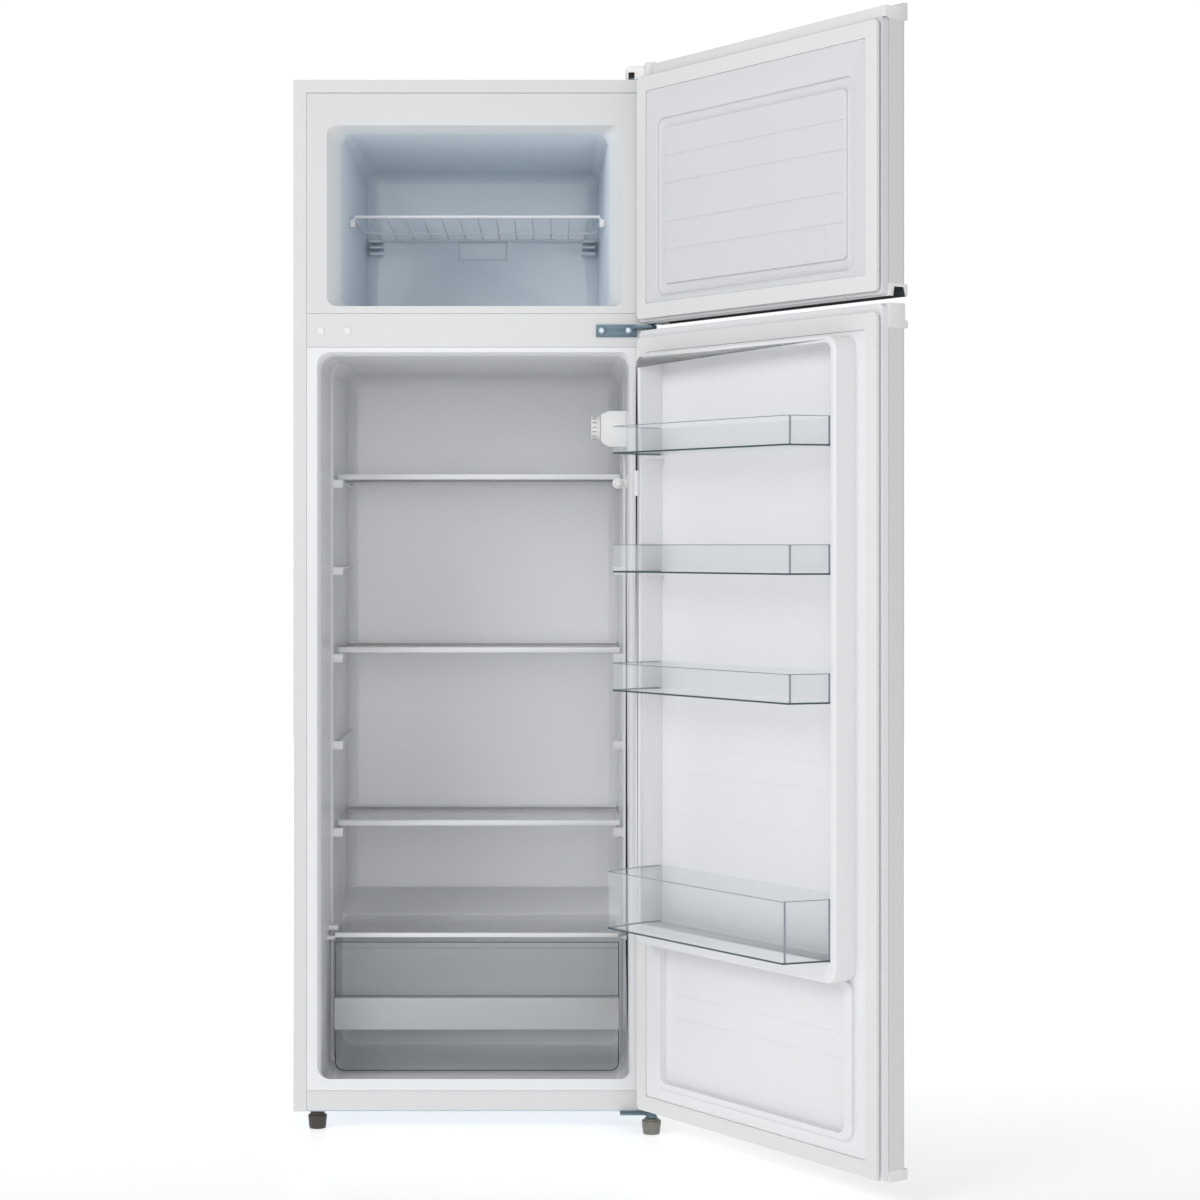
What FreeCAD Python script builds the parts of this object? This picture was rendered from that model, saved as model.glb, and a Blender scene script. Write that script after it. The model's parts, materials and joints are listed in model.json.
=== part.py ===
"""A two-door top freezer refrigerator, as an assembly of its separate pieces.

Millimetres, +Z up. X runs to the right and Y runs to the back as one stands before it.
The origin is on the floor, under the middle of the cabinet.
Door pieces are drawn closed, then turned together about their hinge axis.
"""
import FreeCAD, Part
import math
import os
import re
import Sketcher

os.makedirs("parts", exist_ok=True)
doc = FreeCAD.newDocument("TopFreezerRefrigerator")
Vector = FreeCAD.Vector

# ---------------------------------------------------------------- driving sizes

SIZES = {
    # cabinet; every height below is above the cabinet's underside unless it says otherwise
    "cabinet_width": 545, "cabinet_depth": 515, "cabinet_height": 1550, "foot_height": 27,
    "sheet_steel": 0.8, "front_fold": 20, "liner_wall": 1.8, "seam": 0.4,
    "freezer_space": 402, "crossbar_tall": 51, "rail_height": 31.5, "rail_leg": 9,
    # freezer compartment; foam is the room between a liner and the cabinet's outside
    "freezer_lip": 11, "freezer_top_foam": 80.5, "freezer_side_foam": 72.5,
    "freezer_back_foam": 85, "freezer_bevel": 22.5, "freezer_bevel_up": 12,
    "freezer_bevel_deep": 25, "freezer_draft": 8, "freezer_round": 15, "freezer_back_round": 18,
    "recess_wide": 80, "recess_high": 30, "recess_deep": 5,
    # fridge compartment
    "fridge_floor": 36, "sill_high": 12.8, "fridge_top_foam": 13, "fridge_side_foam": 41.5,
    "fridge_back_foam": 60, "fridge_round": 19.5, "fridge_back_round": 18, "mouth_round": 6,
    "mouth_deep": 14, "wall_step_at": 165, "wall_step": 4, "hump_foam": 48,
    "hump_front_up": 250, "hump_back_up": 278, "ledge_low": 401, "top_shelf_room": 187.6,
    "ledge_count": 5, "ledge_out": 10, "ledge_high": 5, "nub_out": 15, "nub_deep": 18,
    "nub_drop": 7.2, "nub_rise": 1.4,
    # machine space at the lower back
    "machine_deep": 127, "alcove_up": 205, "alcove_back_up": 235,
    # doors, closed: thicknesses stand in front of the cabinet's front plane
    "door_front": 50, "door_steel_back": 19, "door_liner_back": 8.5, "plateau_back": 2.5,
    "door_round": 8, "door_gap": 9, "door_over_bar": 24, "door_over_top": 15,
    "fridge_door_low": 8, "thin_cap": 14, "top_cap": 17, "grip_cap": 33, "cap_proud": 1.5,
    "bead_proud": 2.5, "bead_tall": 11, "tip_rise": 7, "grip_deep": 14, "door_steel": 0.7,
    "door_opening": 124.4,
    "gasket_gap": 1, "gasket_wide": 22, "gasket_inset": 4, "gasket_base": 3.2,
    "seal_over_bar": 6, "seal_under_top": 4, "seal_under_door": 13,
    # fridge door liner: a dike round the bins, and a beaded recess below it
    "dike_high": 35, "dike_gap": 5, "dike_wide": 12, "dike_low": 267, "dike_drop": 41,
    "tub_drop": 51, "dike_round": 20, "tub_corner": 9, "recess_margin": 20,
    "recess_low": 62, "recess_top": 262, "recess_round": 14, "bead_wide": 16, "bead_edge": 8,
    "bead_high": 5,
    # freezer door liner: a groove framing a ribbed panel
    "panel_margin": 52.5, "panel_rise": 38, "panel_drop": 71, "groove_wide": 16,
    "groove_deep": 4.5, "groove_round": 15, "line_wide": 1.8, "line_deep": 0.7,
    # hinges
    "pin_inset": 8.1, "pin_cover": 2, "pin_radius": 4, "pin_play": 0.1, "pin_reach": 18,
    "hinge_plate": 3, "arm_thick": 4, "arm_half": 8.2, "top_arm_half": 6, "notch_wide": 19.4,
    "notch_wall": 4.5, "cover_high": 20, "cover_wall": 1.6, "cover_long": 50,
    "hinge_cover_wide": 44.5, "mid_plate_inset": 29.5, "mid_plate_wide": 61,
    "mid_plate_drop": 8.5, "mid_plate_rise": 10, "screw_radius": 4.6, "screw_head": 2.4,
    "screw_shank": 2, "screw_long": 9, "screw_play": 0.1,
    # shelves
    "shelf_play": 4.5, "shelf_front": 200, "shelf_back_play": 11, "glass": 4,
    "trim_high": 8.5, "trim_deep": 12, "shelf_lift": 2,
    # crisper
    "cover_front": 108, "cover_back_play": 6, "cover_top": 251, "cover_play": 12,
    "ear_play": 2, "cover_ear_deep": 50, "crisper_front": 105, "crisper_back_play": 11,
    "crisper_play": 11.5, "crisper_rise": 3.7, "crisper_under": 12, "crisper_wall": 2.5,
    "crisper_round": 14, "grip_low": 105, "grip_top": 158, "grip_out": 11, "grip_wall": 2.2,
    # door bins
    "bin_play": 0.6, "bin_slant": 15.4, "bin_side": 35, "small_bin_front": 93,
    "bottle_bin_front": 102, "bin_wall": 2.2, "small_bin_high": 40, "bottle_bin_high": 83,
    "top_bin_room": 138, "bottle_bin_low": 297, "bin_gap": 0.5,
    # freezer shelf
    "rack_rise": 151, "rack_play": 10, "rack_front": 125, "rack_bend_from_back": 90,
    "rack_from_back": 16, "rack_thick": 2.4, "rack_wire": 1.3, "rack_margin": 19.6,
    "rack_wires": 13, "rack_corner": 40, "clip_wide": 8, "clip_high": 18, "clip_deep": 16,
    # thermostat, lamp and switch
    "housing_out": 40, "housing_front": 108, "housing_back": 205, "housing_drop": 30,
    "housing_rise": 25, "housing_wall": 2, "housing_flare": 12, "dial_radius": 19.5,
    "dial_thick": 14, "dial_under_roof": 102, "dial_at": 132, "dial_shaft": 3, "lamp_at": 178,
    "lamp_radius": 11, "switch_from_wall": 15, "switch_under_dial": 88, "switch_radius": 8,
    "switch_ahead": 13, "switch_long": 22, "button_radius": 5, "button_out": 10,
    "button_travel": 5,
    # feet and rollers
    "foot_inset": 35, "foot_at": 15, "foot_radius": 14.3, "foot_sole": 12.3,
    "foot_neck": 10.7, "foot_neck_high": 4, "foot_flare": 8, "stud_radius": 5,
    "stud_long": 12, "roller_radius": 12.5, "roller_wide": 12, "roller_inset": 57.5,
    "roller_from_back": 35, "axle_radius": 3, "running_play": 0.08, "bracket_steel": 1.5,
    "base_steel": 1.5, "hole_play": 0.4,
    # machine
    "pump_radius": 52, "pump_high": 150, "pump_up": 18, "pump_across": 70,
    "pump_from_back": 62, "pump_round": 24, "grommet_radius": 9, "pump_foot_half": 78,
    "pump_foot_deep": 38, "pump_plate": 2.5, "tube_radius": 2.4, "condenser_out": 16,
    "condenser_inset": 57.5, "condenser_low": 330, "condenser_top_room": 156,
    "condenser_pairs": 10, "condenser_wire": 0.75, "condenser_margin": 10.75,
    "condenser_wires": 20, "coil_inset": 50, "coil_pitch": 22, "coil_pairs": 4,
    "chill_under_roof": 315, "pan_high": 22, "pan_wall": 1.6, "gland_radius": 9,
    "gland_across": 175, "gland_up": 17,
}

# Places worked out from the sizes; each word may be used in any other formula.
PLACES = {
    "front": "-cabinet_depth / 2", "back": "cabinet_depth / 2", "base": "foot_height",
    "side": "cabinet_width / 2", "top": "foot_height + cabinet_height",
    "border": "side - front_fold",
    "crossbar_low": "cabinet_height - freezer_space",
    "crossbar_high": "crossbar_low + crossbar_tall",
    # compartments, behind the front plane and out from the middle
    "freezer_floor": "crossbar_high + freezer_lip",
    "freezer_roof": "cabinet_height - freezer_top_foam",
    "freezer_border_top": "cabinet_height - front_fold - 0.3",
    "freezer_half": "side - freezer_side_foam",
    "freezer_deep": "cabinet_depth - freezer_back_foam",
    "fridge_sill": "fridge_floor + sill_high", "fridge_roof": "crossbar_low - fridge_top_foam",
    "fridge_half": "side - fridge_side_foam", "inner_half": "fridge_half - wall_step",
    "fridge_deep": "cabinet_depth - fridge_back_foam",
    "alcove_deep": "cabinet_depth - machine_deep", "hump_deep": "alcove_deep - hump_foam",
    "ledge_first": "base + ledge_low",
    "ledge_pitch": "(fridge_roof - ledge_low - top_shelf_room) / (ledge_count - 1)",
    "ledge_front": "wall_step_at + wall_step",
    # doors
    "door_side": "side", "door_out": "front - door_front", "steel_end": "front - door_steel_back",
    "liner_face": "front - door_liner_back", "gasket_face": "front - gasket_gap",
    "plateau_face": "front - plateau_back",
    "fridge_door_top": "crossbar_low + door_over_bar",
    "freezer_door_low": "fridge_door_top + door_gap",
    "freezer_door_top": "cabinet_height + door_over_top",
    "gap_low": "base + fridge_door_top", "gap_top": "base + freezer_door_low",
    "dike_half": "fridge_half - dike_gap", "tub_half": "dike_half - dike_wide",
    "dike_top": "fridge_door_top - dike_drop", "tub_top": "fridge_door_top - tub_drop",
    "tub_low": "bottle_bin_low - bin_gap", "recess_half": "dike_half - recess_margin",
    "bead_crest": "plateau_face + bead_high",
    "panel_half": "side - panel_margin", "panel_low": "freezer_door_low + panel_rise",
    "panel_top": "cabinet_height - panel_drop",
    "bin_half": "tub_half - bin_play", "bin_bend": "bin_half - bin_slant",
    "bin_top_low": "tub_top - top_bin_room",
    "bin_pitch": "(bin_top_low - bottle_bin_low) / 4",
    "bin_middle_low": "bin_top_low - bin_pitch", "bin_bottom_low": "bin_top_low - 2 * bin_pitch",
    # hinges
    "pin_ahead": "door_steel_back + pin_radius + pin_cover",
    "pin_across": "side - pin_inset", "pin_y": "front - pin_ahead",
    "arm_low": "(gap_low + gap_top) / 2 - arm_thick / 2",
    "notch_floor": "base + cabinet_height - 1", "cover_left": "side - hinge_cover_wide",
    "mid_plate_right": "side - mid_plate_inset",
    "mid_plate_left": "mid_plate_right - mid_plate_wide",
    "mid_plate_low": "fridge_door_top - mid_plate_drop",
    "mid_plate_top": "fridge_door_top + mid_plate_rise",
    # what stands in the compartments
    "shelf_half": "inner_half - shelf_play", "shelf_back": "fridge_deep - shelf_back_play",
    "cover_back": "hump_deep - cover_back_play", "cover_half": "fridge_half - cover_play",
    "cover_ear": "fridge_half - ear_play", "crisper_back": "hump_deep - crisper_back_play",
    "crisper_half": "fridge_half - crisper_play", "crisper_low": "fridge_floor + crisper_rise",
    "crisper_top": "cover_top - crisper_under",
    "rack_up": "freezer_floor + rack_rise", "rack_half": "freezer_half - rack_play",
    "rack_back": "freezer_deep - rack_from_back",
    "rack_frame_back": "rack_back - rack_bend_from_back",
    "rack_pitch": "2 * (rack_half - rack_margin) / (rack_wires - 1)",
    "rack_under": "rack_up - rack_wire - rack_thick",
    "housing_left": "fridge_half - housing_out", "dial_up": "fridge_roof - dial_under_roof",
    "housing_low": "dial_up - housing_drop", "housing_top": "dial_up + housing_rise",
    "switch_front": "dike_high + switch_ahead",
    "switch_across": "fridge_half - switch_from_wall", "switch_up": "dial_up - switch_under_dial",
    # feet and machine
    "foot_across": "side - foot_inset", "roller_across": "side - roller_inset",
    "roller_y": "back - roller_from_back",
    "pump_y": "back - pump_from_back", "pump_base": "base + base_steel + pump_up",
    "pump_top": "pump_base + pump_high",
    "condenser_y": "back + condenser_out", "condenser_half": "side - condenser_inset",
    "condenser_pitch": "(cabinet_height - condenser_top_room - condenser_low)"
                       " / (2 * condenser_pairs - 1)",
    "condenser_wire_pitch": "2 * (condenser_half - condenser_margin) / (condenser_wires - 1)",
    "coil_half": "freezer_half - coil_inset", "chill_low": "fridge_roof - chill_under_roof",
}

sheet = doc.addObject("Spreadsheet::Sheet", "Sizes")
for row, (alias, number) in enumerate(SIZES.items(), start=1):
    sheet.set(f"A{row}", alias)
    sheet.set(f"B{row}", str(number))
    sheet.setAlias(f"B{row}", alias)
doc.recompute()


# ---------------------------------------------------------------- helpers

def formula(text):
    """Point the names in a formula at the sheet, and work the named places in."""
    def swap(found):
        word = found.group(0)
        if word in PLACES:
            return "(" + formula(PLACES[word]) + ")"
        return "Sizes." + word if word in SIZES else word
    return re.sub(r"[a-z_][a-z_0-9]*", swap, str(text))


def value(text):
    """What a formula comes to, in millimetres."""
    return float(sheet.evalExpression(formula(text)))


def bind(thing, prop, text):
    thing.setExpression(prop, formula(text))


def block(name, x, y, z):
    """A box between two places along each axis."""
    made = doc.addObject("Part::Box", name)
    for prop, letter, (low, high) in (("Length", "x", x), ("Width", "y", y), ("Height", "z", z)):
        bind(made, prop, f"({high}) - ({low})")
        bind(made, f"Placement.Base.{letter}", low)
    return made


TURNS = {
    "X": FreeCAD.Rotation(Vector(0, 1, 0), 90),
    "Y": FreeCAD.Rotation(Vector(1, 0, 0), -90),
    "Z": FreeCAD.Rotation(),
}


def rod(name, start, length, radius, axis="Z"):
    """A cylinder from a start point, along one axis."""
    made = doc.addObject("Part::Cylinder", name)
    made.Placement = FreeCAD.Placement(Vector(), TURNS[axis])
    bind(made, "Radius", radius)
    bind(made, "Height", length)
    for letter, place in zip("xyz", start):
        bind(made, f"Placement.Base.{letter}", place)
    return made


def cone(name, start, length, low_radius, high_radius, axis="Z"):
    made = doc.addObject("Part::Cone", name)
    made.Placement = FreeCAD.Placement(Vector(), TURNS[axis])
    bind(made, "Radius1", low_radius)
    bind(made, "Radius2", high_radius)
    bind(made, "Height", length)
    for letter, place in zip("xyz", start):
        bind(made, f"Placement.Base.{letter}", place)
    return made


def cut(name, whole, *tools):
    made = doc.addObject("Part::Cut", name)
    made.Base = whole
    made.Tool = tools[0] if len(tools) == 1 else fuse(name + "Tools", *tools)
    return made


def fuse(name, *shapes):
    made = doc.addObject("Part::MultiFuse", name)
    made.Shapes = list(shapes)
    return made


def group(name, *shapes):
    """Separate solids that share one node."""
    made = doc.addObject("Part::Compound", name)
    made.Links = list(shapes)
    return made


def body(name):
    return doc.addObject("PartDesign::Body", name)


def sketch(owner, plane, place):
    """A sketch on one of the body's own planes, moved along that plane's normal.

    XY faces +Z and YZ faces +X. XZ faces -Y, so a place along Y is passed as it is.
    """
    made = owner.newObject("Sketcher::SketchObject", owner.Name + "Sketch")
    planes = owner.Origin.OriginFeatures
    made.AttachmentSupport = [(next(p for p in planes if p.Role == plane + "_Plane"), "")]
    made.MapMode = "FlatFace"
    bind(made, "AttachmentOffset.Base.z", f"-({place})" if plane == "XZ" else place)
    return made


def fix(drawing, kind, geometry, end, text):
    """Hold one coordinate of an end point, or a radius, to a formula."""
    number = value(text)
    if kind == "Radius":
        made = Sketcher.Constraint(kind, geometry, number)
    else:
        made = Sketcher.Constraint(kind, -1, 1, geometry, end, number)
    drawing.setExpression(f"Constraints[{drawing.addConstraint(made)}]", formula(text))


def outline(drawing, points):
    """A closed outline of straight sides, each corner held by a pair of formulas."""
    corners = [Vector(value(across), value(up), 0) for across, up in points]
    first = drawing.GeometryCount
    count = len(corners)
    sides = [Part.LineSegment(corners[i], corners[(i + 1) % count]) for i in range(count)]
    drawing.addGeometry(sides, False)
    for i in range(count):
        joint = Sketcher.Constraint("Coincident", first + i, 2, first + (i + 1) % count, 1)
        drawing.addConstraint(joint)
        fix(drawing, "DistanceX", first + i, 1, points[i][0])
        fix(drawing, "DistanceY", first + i, 1, points[i][1])


def rounded(drawing, left, low, right, high, radius):
    """A rectangle with four equal round corners, its sides and radius held by formulas."""
    a, b, c, d, r = (value(text) for text in (left, low, right, high, radius))
    first = drawing.GeometryCount
    sides = [
        Part.LineSegment(Vector(a + r, b, 0), Vector(c - r, b, 0)),
        Part.LineSegment(Vector(c, b + r, 0), Vector(c, d - r, 0)),
        Part.LineSegment(Vector(c - r, d, 0), Vector(a + r, d, 0)),
        Part.LineSegment(Vector(a, d - r, 0), Vector(a, b + r, 0)),
    ]
    centres = [(c - r, b + r), (c - r, d - r), (a + r, d - r), (a + r, b + r)]
    for turn, (x, y) in enumerate(centres, start=-1):
        circle = Part.Circle(Vector(x, y, 0), Vector(0, 0, 1), r)
        sides.append(Part.ArcOfCircle(circle, turn * math.pi / 2, (turn + 1) * math.pi / 2))
    drawing.addGeometry(sides, False)
    rules = []
    for i in range(4):
        corner, after = first + 4 + i, first + (i + 1) % 4
        rules.append(Sketcher.Constraint("Tangent", first + i, 2, corner, 1))
        rules.append(Sketcher.Constraint("Tangent", corner, 2, after, 1))
        rules.append(Sketcher.Constraint("Vertical" if i % 2 else "Horizontal", first + i))
        if i:
            rules.append(Sketcher.Constraint("Equal", first + 4, corner))
    drawing.addConstraint(rules)
    fix(drawing, "DistanceY", first, 1, low)
    fix(drawing, "DistanceX", first + 1, 1, right)
    fix(drawing, "DistanceY", first + 2, 1, high)
    fix(drawing, "DistanceX", first + 3, 1, left)
    fix(drawing, "Radius", first + 4, 0, radius)


def disc(drawing, across, up, radius):
    """A circle whose centre and radius are held by formulas."""
    centre = Vector(value(across), value(up), 0)
    ring = drawing.addGeometry(Part.Circle(centre, Vector(0, 0, 1), value(radius)), False)
    fix(drawing, "DistanceX", ring, 3, across)
    fix(drawing, "DistanceY", ring, 3, up)
    fix(drawing, "Radius", ring, 0, radius)


def extrude(owner, kind, plane, low, high, *draws):
    """Pad or Pocket between two places along a plane's axis.

    Each entry of draws is a drawing function followed by its arguments.
    A pad grows along the plane's normal, and a pocket is reversed to cut the same way.
    """
    drawing = sketch(owner, plane, high if plane == "XZ" else low)
    for draw, *arguments in draws:
        draw(drawing, *arguments)
    made = owner.newObject("PartDesign::" + kind, owner.Name + kind)
    made.Profile = drawing
    bind(made, "Length", f"({high}) - ({low})")
    made.Reversed = kind == "Pocket"
    return made


def pad(owner, plane, low, high, *draws):
    return extrude(owner, "Pad", plane, low, high, *draws)


def pocket(owner, plane, low, high, *draws):
    return extrude(owner, "Pocket", plane, low, high, *draws)


def loft(owner, kind, sections):
    """A ruled loft through rounded rectangles that stand across Y."""
    drawings = []
    for place, left, low, right, high, radius in sections:
        drawing = sketch(owner, "XZ", place)
        rounded(drawing, left, low, right, high, radius)
        drawings.append(drawing)
    made = owner.newObject("PartDesign::" + kind, owner.Name + kind)
    made.Profile = drawings[0]
    made.Sections = drawings[1:]
    made.Ruled = True
    return made


def spin(owner, across, points):
    """Turn an outline in the XZ plane about the vertical line where its own X is zero."""
    drawing = sketch(owner, "XZ", "0")
    outline(drawing, points)
    made = owner.newObject("PartDesign::Revolution", owner.Name + "Revolution")
    made.Profile = drawing
    made.ReferenceAxis = (drawing, ["V_Axis"])
    made.Angle = 360
    for letter, place in zip("xyz", across):
        bind(owner, f"Placement.Base.{letter}", place)
    return made


NODES = []


def node(name, shape):
    """Name a finished sub-part."""
    shape.Label = name
    NODES.append(shape)
    return shape


def on_door(name, shape):
    """Turn a door piece, drawn closed, about the hinge axis to the door's opening."""
    shape.Placement = FreeCAD.Placement(Vector(), FreeCAD.Rotation(Vector(0, 0, 1), 10))
    bind(shape, "Placement.Rotation.Angle", "door_opening")
    bind(shape, "Placement.Base.x", "pin_across - pin_across * cos(door_opening)"
         " + pin_y * sin(door_opening)")
    bind(shape, "Placement.Base.y", "pin_y - pin_across * sin(door_opening)"
         " - pin_y * cos(door_opening)")
    return node(name, shape)


def up(place):
    """A height above the cabinet's underside, as a height above the floor."""
    return f"base + ({place})"


def deep(place):
    """A depth behind the cabinet's front plane."""
    return f"front + ({place})"


# ---------------------------------------------------------------- cabinet

def make_shell():
    """One steel sheet bent over both sides and the top, its front edges folded in."""
    shell = body("CabinetShell")
    wrap = [
        ("-side", "base"), ("-side + sheet_steel", "base"),
        ("-side + sheet_steel", "top - sheet_steel"), ("side - sheet_steel", "top - sheet_steel"),
        ("side - sheet_steel", "base"), ("side", "base"), ("side", "top"), ("-side", "top"),
    ]
    fold = [
        ("-side", "base"), ("-border - seam", "base"),
        ("-border - seam", "top - front_fold + seam"), ("border + seam", "top - front_fold + seam"),
        ("border + seam", "base"), ("side", "base"), ("side", "top"), ("-side", "top"),
    ]
    pad(shell, "XZ", "front", "back", (outline, wrap))
    pad(shell, "XZ", "front", "front + sheet_steel", (outline, fold))
    pad(shell, "XZ", "back - sheet_steel", "back", (outline, [
        ("-side", "base"), ("-side + front_fold / 2", "base"),
        ("-side + front_fold / 2", "top - front_fold / 2"),
        ("side - front_fold / 2", "top - front_fold / 2"), ("side - front_fold / 2", "base"),
        ("side", "base"), ("side", "top"), ("-side", "top"),
    ]))
    pocket(shell, "XY", "top - 2 * sheet_steel", "top + 1",
           *[(disc, x, y, "screw_shank + screw_play") for x, y in TOP_SCREWS])
    node("cabinet_shell", shell)


def channel(name, low, high):
    """A folded steel channel across the front, open to the back."""
    made = body(name)
    pad(made, "YZ", "-border", "border", (outline, [
        ("front", low), ("front + rail_leg", low), ("front + rail_leg", f"{low} + sheet_steel"),
        ("front + sheet_steel", f"{low} + sheet_steel"),
        ("front + sheet_steel", f"{high} - sheet_steel"),
        ("front + rail_leg", f"{high} - sheet_steel"), ("front + rail_leg", high),
        ("front", high),
    ]))
    return made


MID_SCREWS = ("mid_plate_left + 8.5", "mid_plate_right - 12")
PLUG_PLACES = tuple(f"-({place})" for place in MID_SCREWS)
LOW_SCREWS = (("side - 43.5", "front + 20"), ("side - 43.5", "front + 48"),
              ("side - 14.5", "front + 48"))
TOP_SCREWS = (("side - 32.5", "front + 32"), ("side - 10.5", "front + 32"))


def make_front_bars():
    crossbar = channel("Crossbar", "base + crossbar_low + seam", "base + crossbar_high - seam")
    plug_up = "mid_plate_low + (mid_plate_top - mid_plate_low) / 2"
    pocket(crossbar, "XZ", "front - 1", "front + sheet_steel",
           *[(disc, across, up(plug_up), "screw_radius") for across in PLUG_PLACES],
           *[(disc, across, up(plug_up), "screw_shank + seam") for across in MID_SCREWS])
    node("crossbar", crossbar)
    plugs = []
    for number, across in enumerate(PLUG_PLACES):
        plug = fuse(
            f"CrossbarPlug{number}",
            rod(f"PlugHead{number}", (across, "front - 1.2", up(plug_up)), "1.1",
                "screw_radius + 1", "Y"),
            rod(f"PlugStem{number}", (across, "front - 0.2", up(plug_up)), "7",
                "screw_radius - 0.1", "Y"),
        )
        plugs.append(plug)
    node("crossbar_plugs", group("CrossbarPlugs", *plugs))
    rail = channel("BottomRail", "base + base_steel + seam", "base + rail_height - seam")
    node("bottom_rail", rail)


def make_back():
    """The flat back sheet, and the folded sheet that closes off the machine space."""
    inside = "side - sheet_steel - seam"
    node("back_panel", block("BackPanel", (f"-({inside})", inside),
                             ("back - 2 * sheet_steel - seam", "back - sheet_steel - seam"),
                             ("base + alcove_back_up + seam", "top - sheet_steel - seam")))
    housing = body("MachineHousing")
    pad(housing, "YZ", f"-({inside})", inside, (outline, [
        ("front + alcove_deep", "base + base_steel + seam"),
        ("front + alcove_deep", "base + alcove_up"),
        ("back - 2 * sheet_steel - seam", "base + alcove_back_up"),
        ("back - sheet_steel - seam", "base + alcove_back_up"),
        ("back - sheet_steel - seam", "base + alcove_back_up - 2 * sheet_steel"),
        ("front + alcove_deep + sheet_steel", "base + alcove_up - 2 * sheet_steel"),
        ("front + alcove_deep + sheet_steel", "base + base_steel + seam"),
    ]))
    node("machine_housing", housing)


def make_base():
    """The steel floor of the cabinet, with a rear edge turned up for the mains gland."""
    inside = "side - sheet_steel - seam"
    plate = body("BasePlate")
    edge = "front + sheet_steel + seam"
    pad(plate, "XY", "base", "base + base_steel", (outline, [
        (f"-({inside})", edge), (inside, edge),
        (inside, "back - sheet_steel - seam"), (f"-({inside})", "back - sheet_steel - seam"),
    ]))
    pad(plate, "XZ", "back - sheet_steel - seam - base_steel", "back - sheet_steel - seam",
        (outline, [
            ("-gland_across - 30", "base + base_steel"), ("-gland_across + 30", "base + base_steel"),
            ("-gland_across + 30", "base + 2 * gland_up"), ("-gland_across - 30", "base + 2 * gland_up"),
        ]))
    pocket(plate, "XZ", "back - 3 * base_steel - sheet_steel", "back",
           (disc, "-gland_across", "base + gland_up", "gland_radius"))
    pocket(plate, "XY", "base - 1", "base + 2 * base_steel",
           (disc, "-foot_across", "front + foot_at", "stud_radius + hole_play"),
           *[(disc, x, y, "screw_shank + screw_play") for x, y in LOW_SCREWS])
    node("base_plate", plate)
    ring = cut("MainsGlandRing",
               fuse("MainsGlandBody",
                    rod("GlandBarrel", ("-gland_across", "back - 7", "base + gland_up"), "12",
                        "gland_radius - 0.1", "Y"),
                    rod("GlandHead", ("-gland_across", "back", "base + gland_up"), "3",
                        "gland_radius + 3", "Y")),
               rod("GlandBore", ("-gland_across", "back - 8", "base + gland_up"), "20",
                   "gland_radius / 2", "Y"))
    node("mains_gland", ring)


# ---------------------------------------------------------------- liners

def quarter(radius):
    """Steps round a quarter-round corner: how far along it, and how far it has moved in."""
    turns = [math.radians(angle) for angle in (30, 55, 75, 90)]
    return [(f"{radius} * {math.sin(turn):.3f}", f"{radius} * {1 - math.cos(turn):.3f}")
            for turn in turns]


def make_hull(name, sections):
    made = body(name)
    for first, second in zip(sections, sections[1:]):
        loft(made, "AdditiveLoft", [first, second])
    return made


def make_freezer_liner():
    """A moulded box that narrows to the back, with a soft wide mouth and a flat border."""
    def hull(name, grow):
        start = "freezer_deep - freezer_back_round"
        steps = [(f"freezer_bevel_deep * {along}", f"freezer_bevel * {out}",
                  f"freezer_bevel_up * {out}", "0")
                 for along, out in ((0, 1), (0.3, 0.6), (0.65, 0.22), (1, 0))]
        steps.append((start, "-freezer_draft", "0", "0"))
        for along, moved in quarter(f"(freezer_back_round + {grow})"):
            steps.append((f"{start} + {along}", f"-freezer_draft - {moved}", f"-{moved}", moved))
        return make_hull(name, [
            (deep(place), f"-(freezer_half + {grow} + ({out}))",
             up(f"freezer_floor - {grow} + {lift}"), f"freezer_half + {grow} + ({out})",
             up(f"freezer_roof + {grow} + ({rise})"), f"freezer_round + {grow}")
            for place, out, rise, lift in steps])
    outer = hull("FreezerOuter", "liner_wall")
    border = block("FreezerBorder", ("-border", "border"), ("front", "front + liner_wall"),
                   ("base + crossbar_high", "base + freezer_border_top"))
    inner = hull("FreezerInner", "0")
    pocket_mid = "rack_up - 20"

    def back_recess(name, grow, start):
        return block(name, (f"-recess_wide / 2 - {grow}", f"recess_wide / 2 + {grow}"),
                     (deep(start), deep(f"freezer_deep + recess_deep + {grow}")),
                     (up(f"{pocket_mid} - recess_high / 2 - {grow}"),
                      up(f"{pocket_mid} + recess_high / 2 + {grow}")))
    backing = back_recess("FreezerBacking", "liner_wall", "freezer_deep + liner_wall / 2")
    recess = back_recess("FreezerRecess", "0", "freezer_deep - 1")
    ribs = [
        block(f"FreezerRib{side}{number}",
              (f"{sign} * (freezer_half - 24) - 11", f"{sign} * (freezer_half - 24) + 11"),
              ("front + freezer_deep - 34", "front + freezer_deep + liner_wall / 2"),
              (up(f"rack_under - {drop} - rack_wire * 1.2 - seam - 4"),
               up(f"rack_under - {drop} - rack_wire * 1.2 - seam")))
        for side, sign in (("Left", -1), ("Right", 1)) for number, drop in enumerate((0, 10, 20))
    ]
    mass = fuse("FreezerMass", outer, border, backing)
    liner = fuse("FreezerLiner", cut("FreezerTub", mass, inner, recess), *ribs)
    node("freezer_liner", liner)


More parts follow.
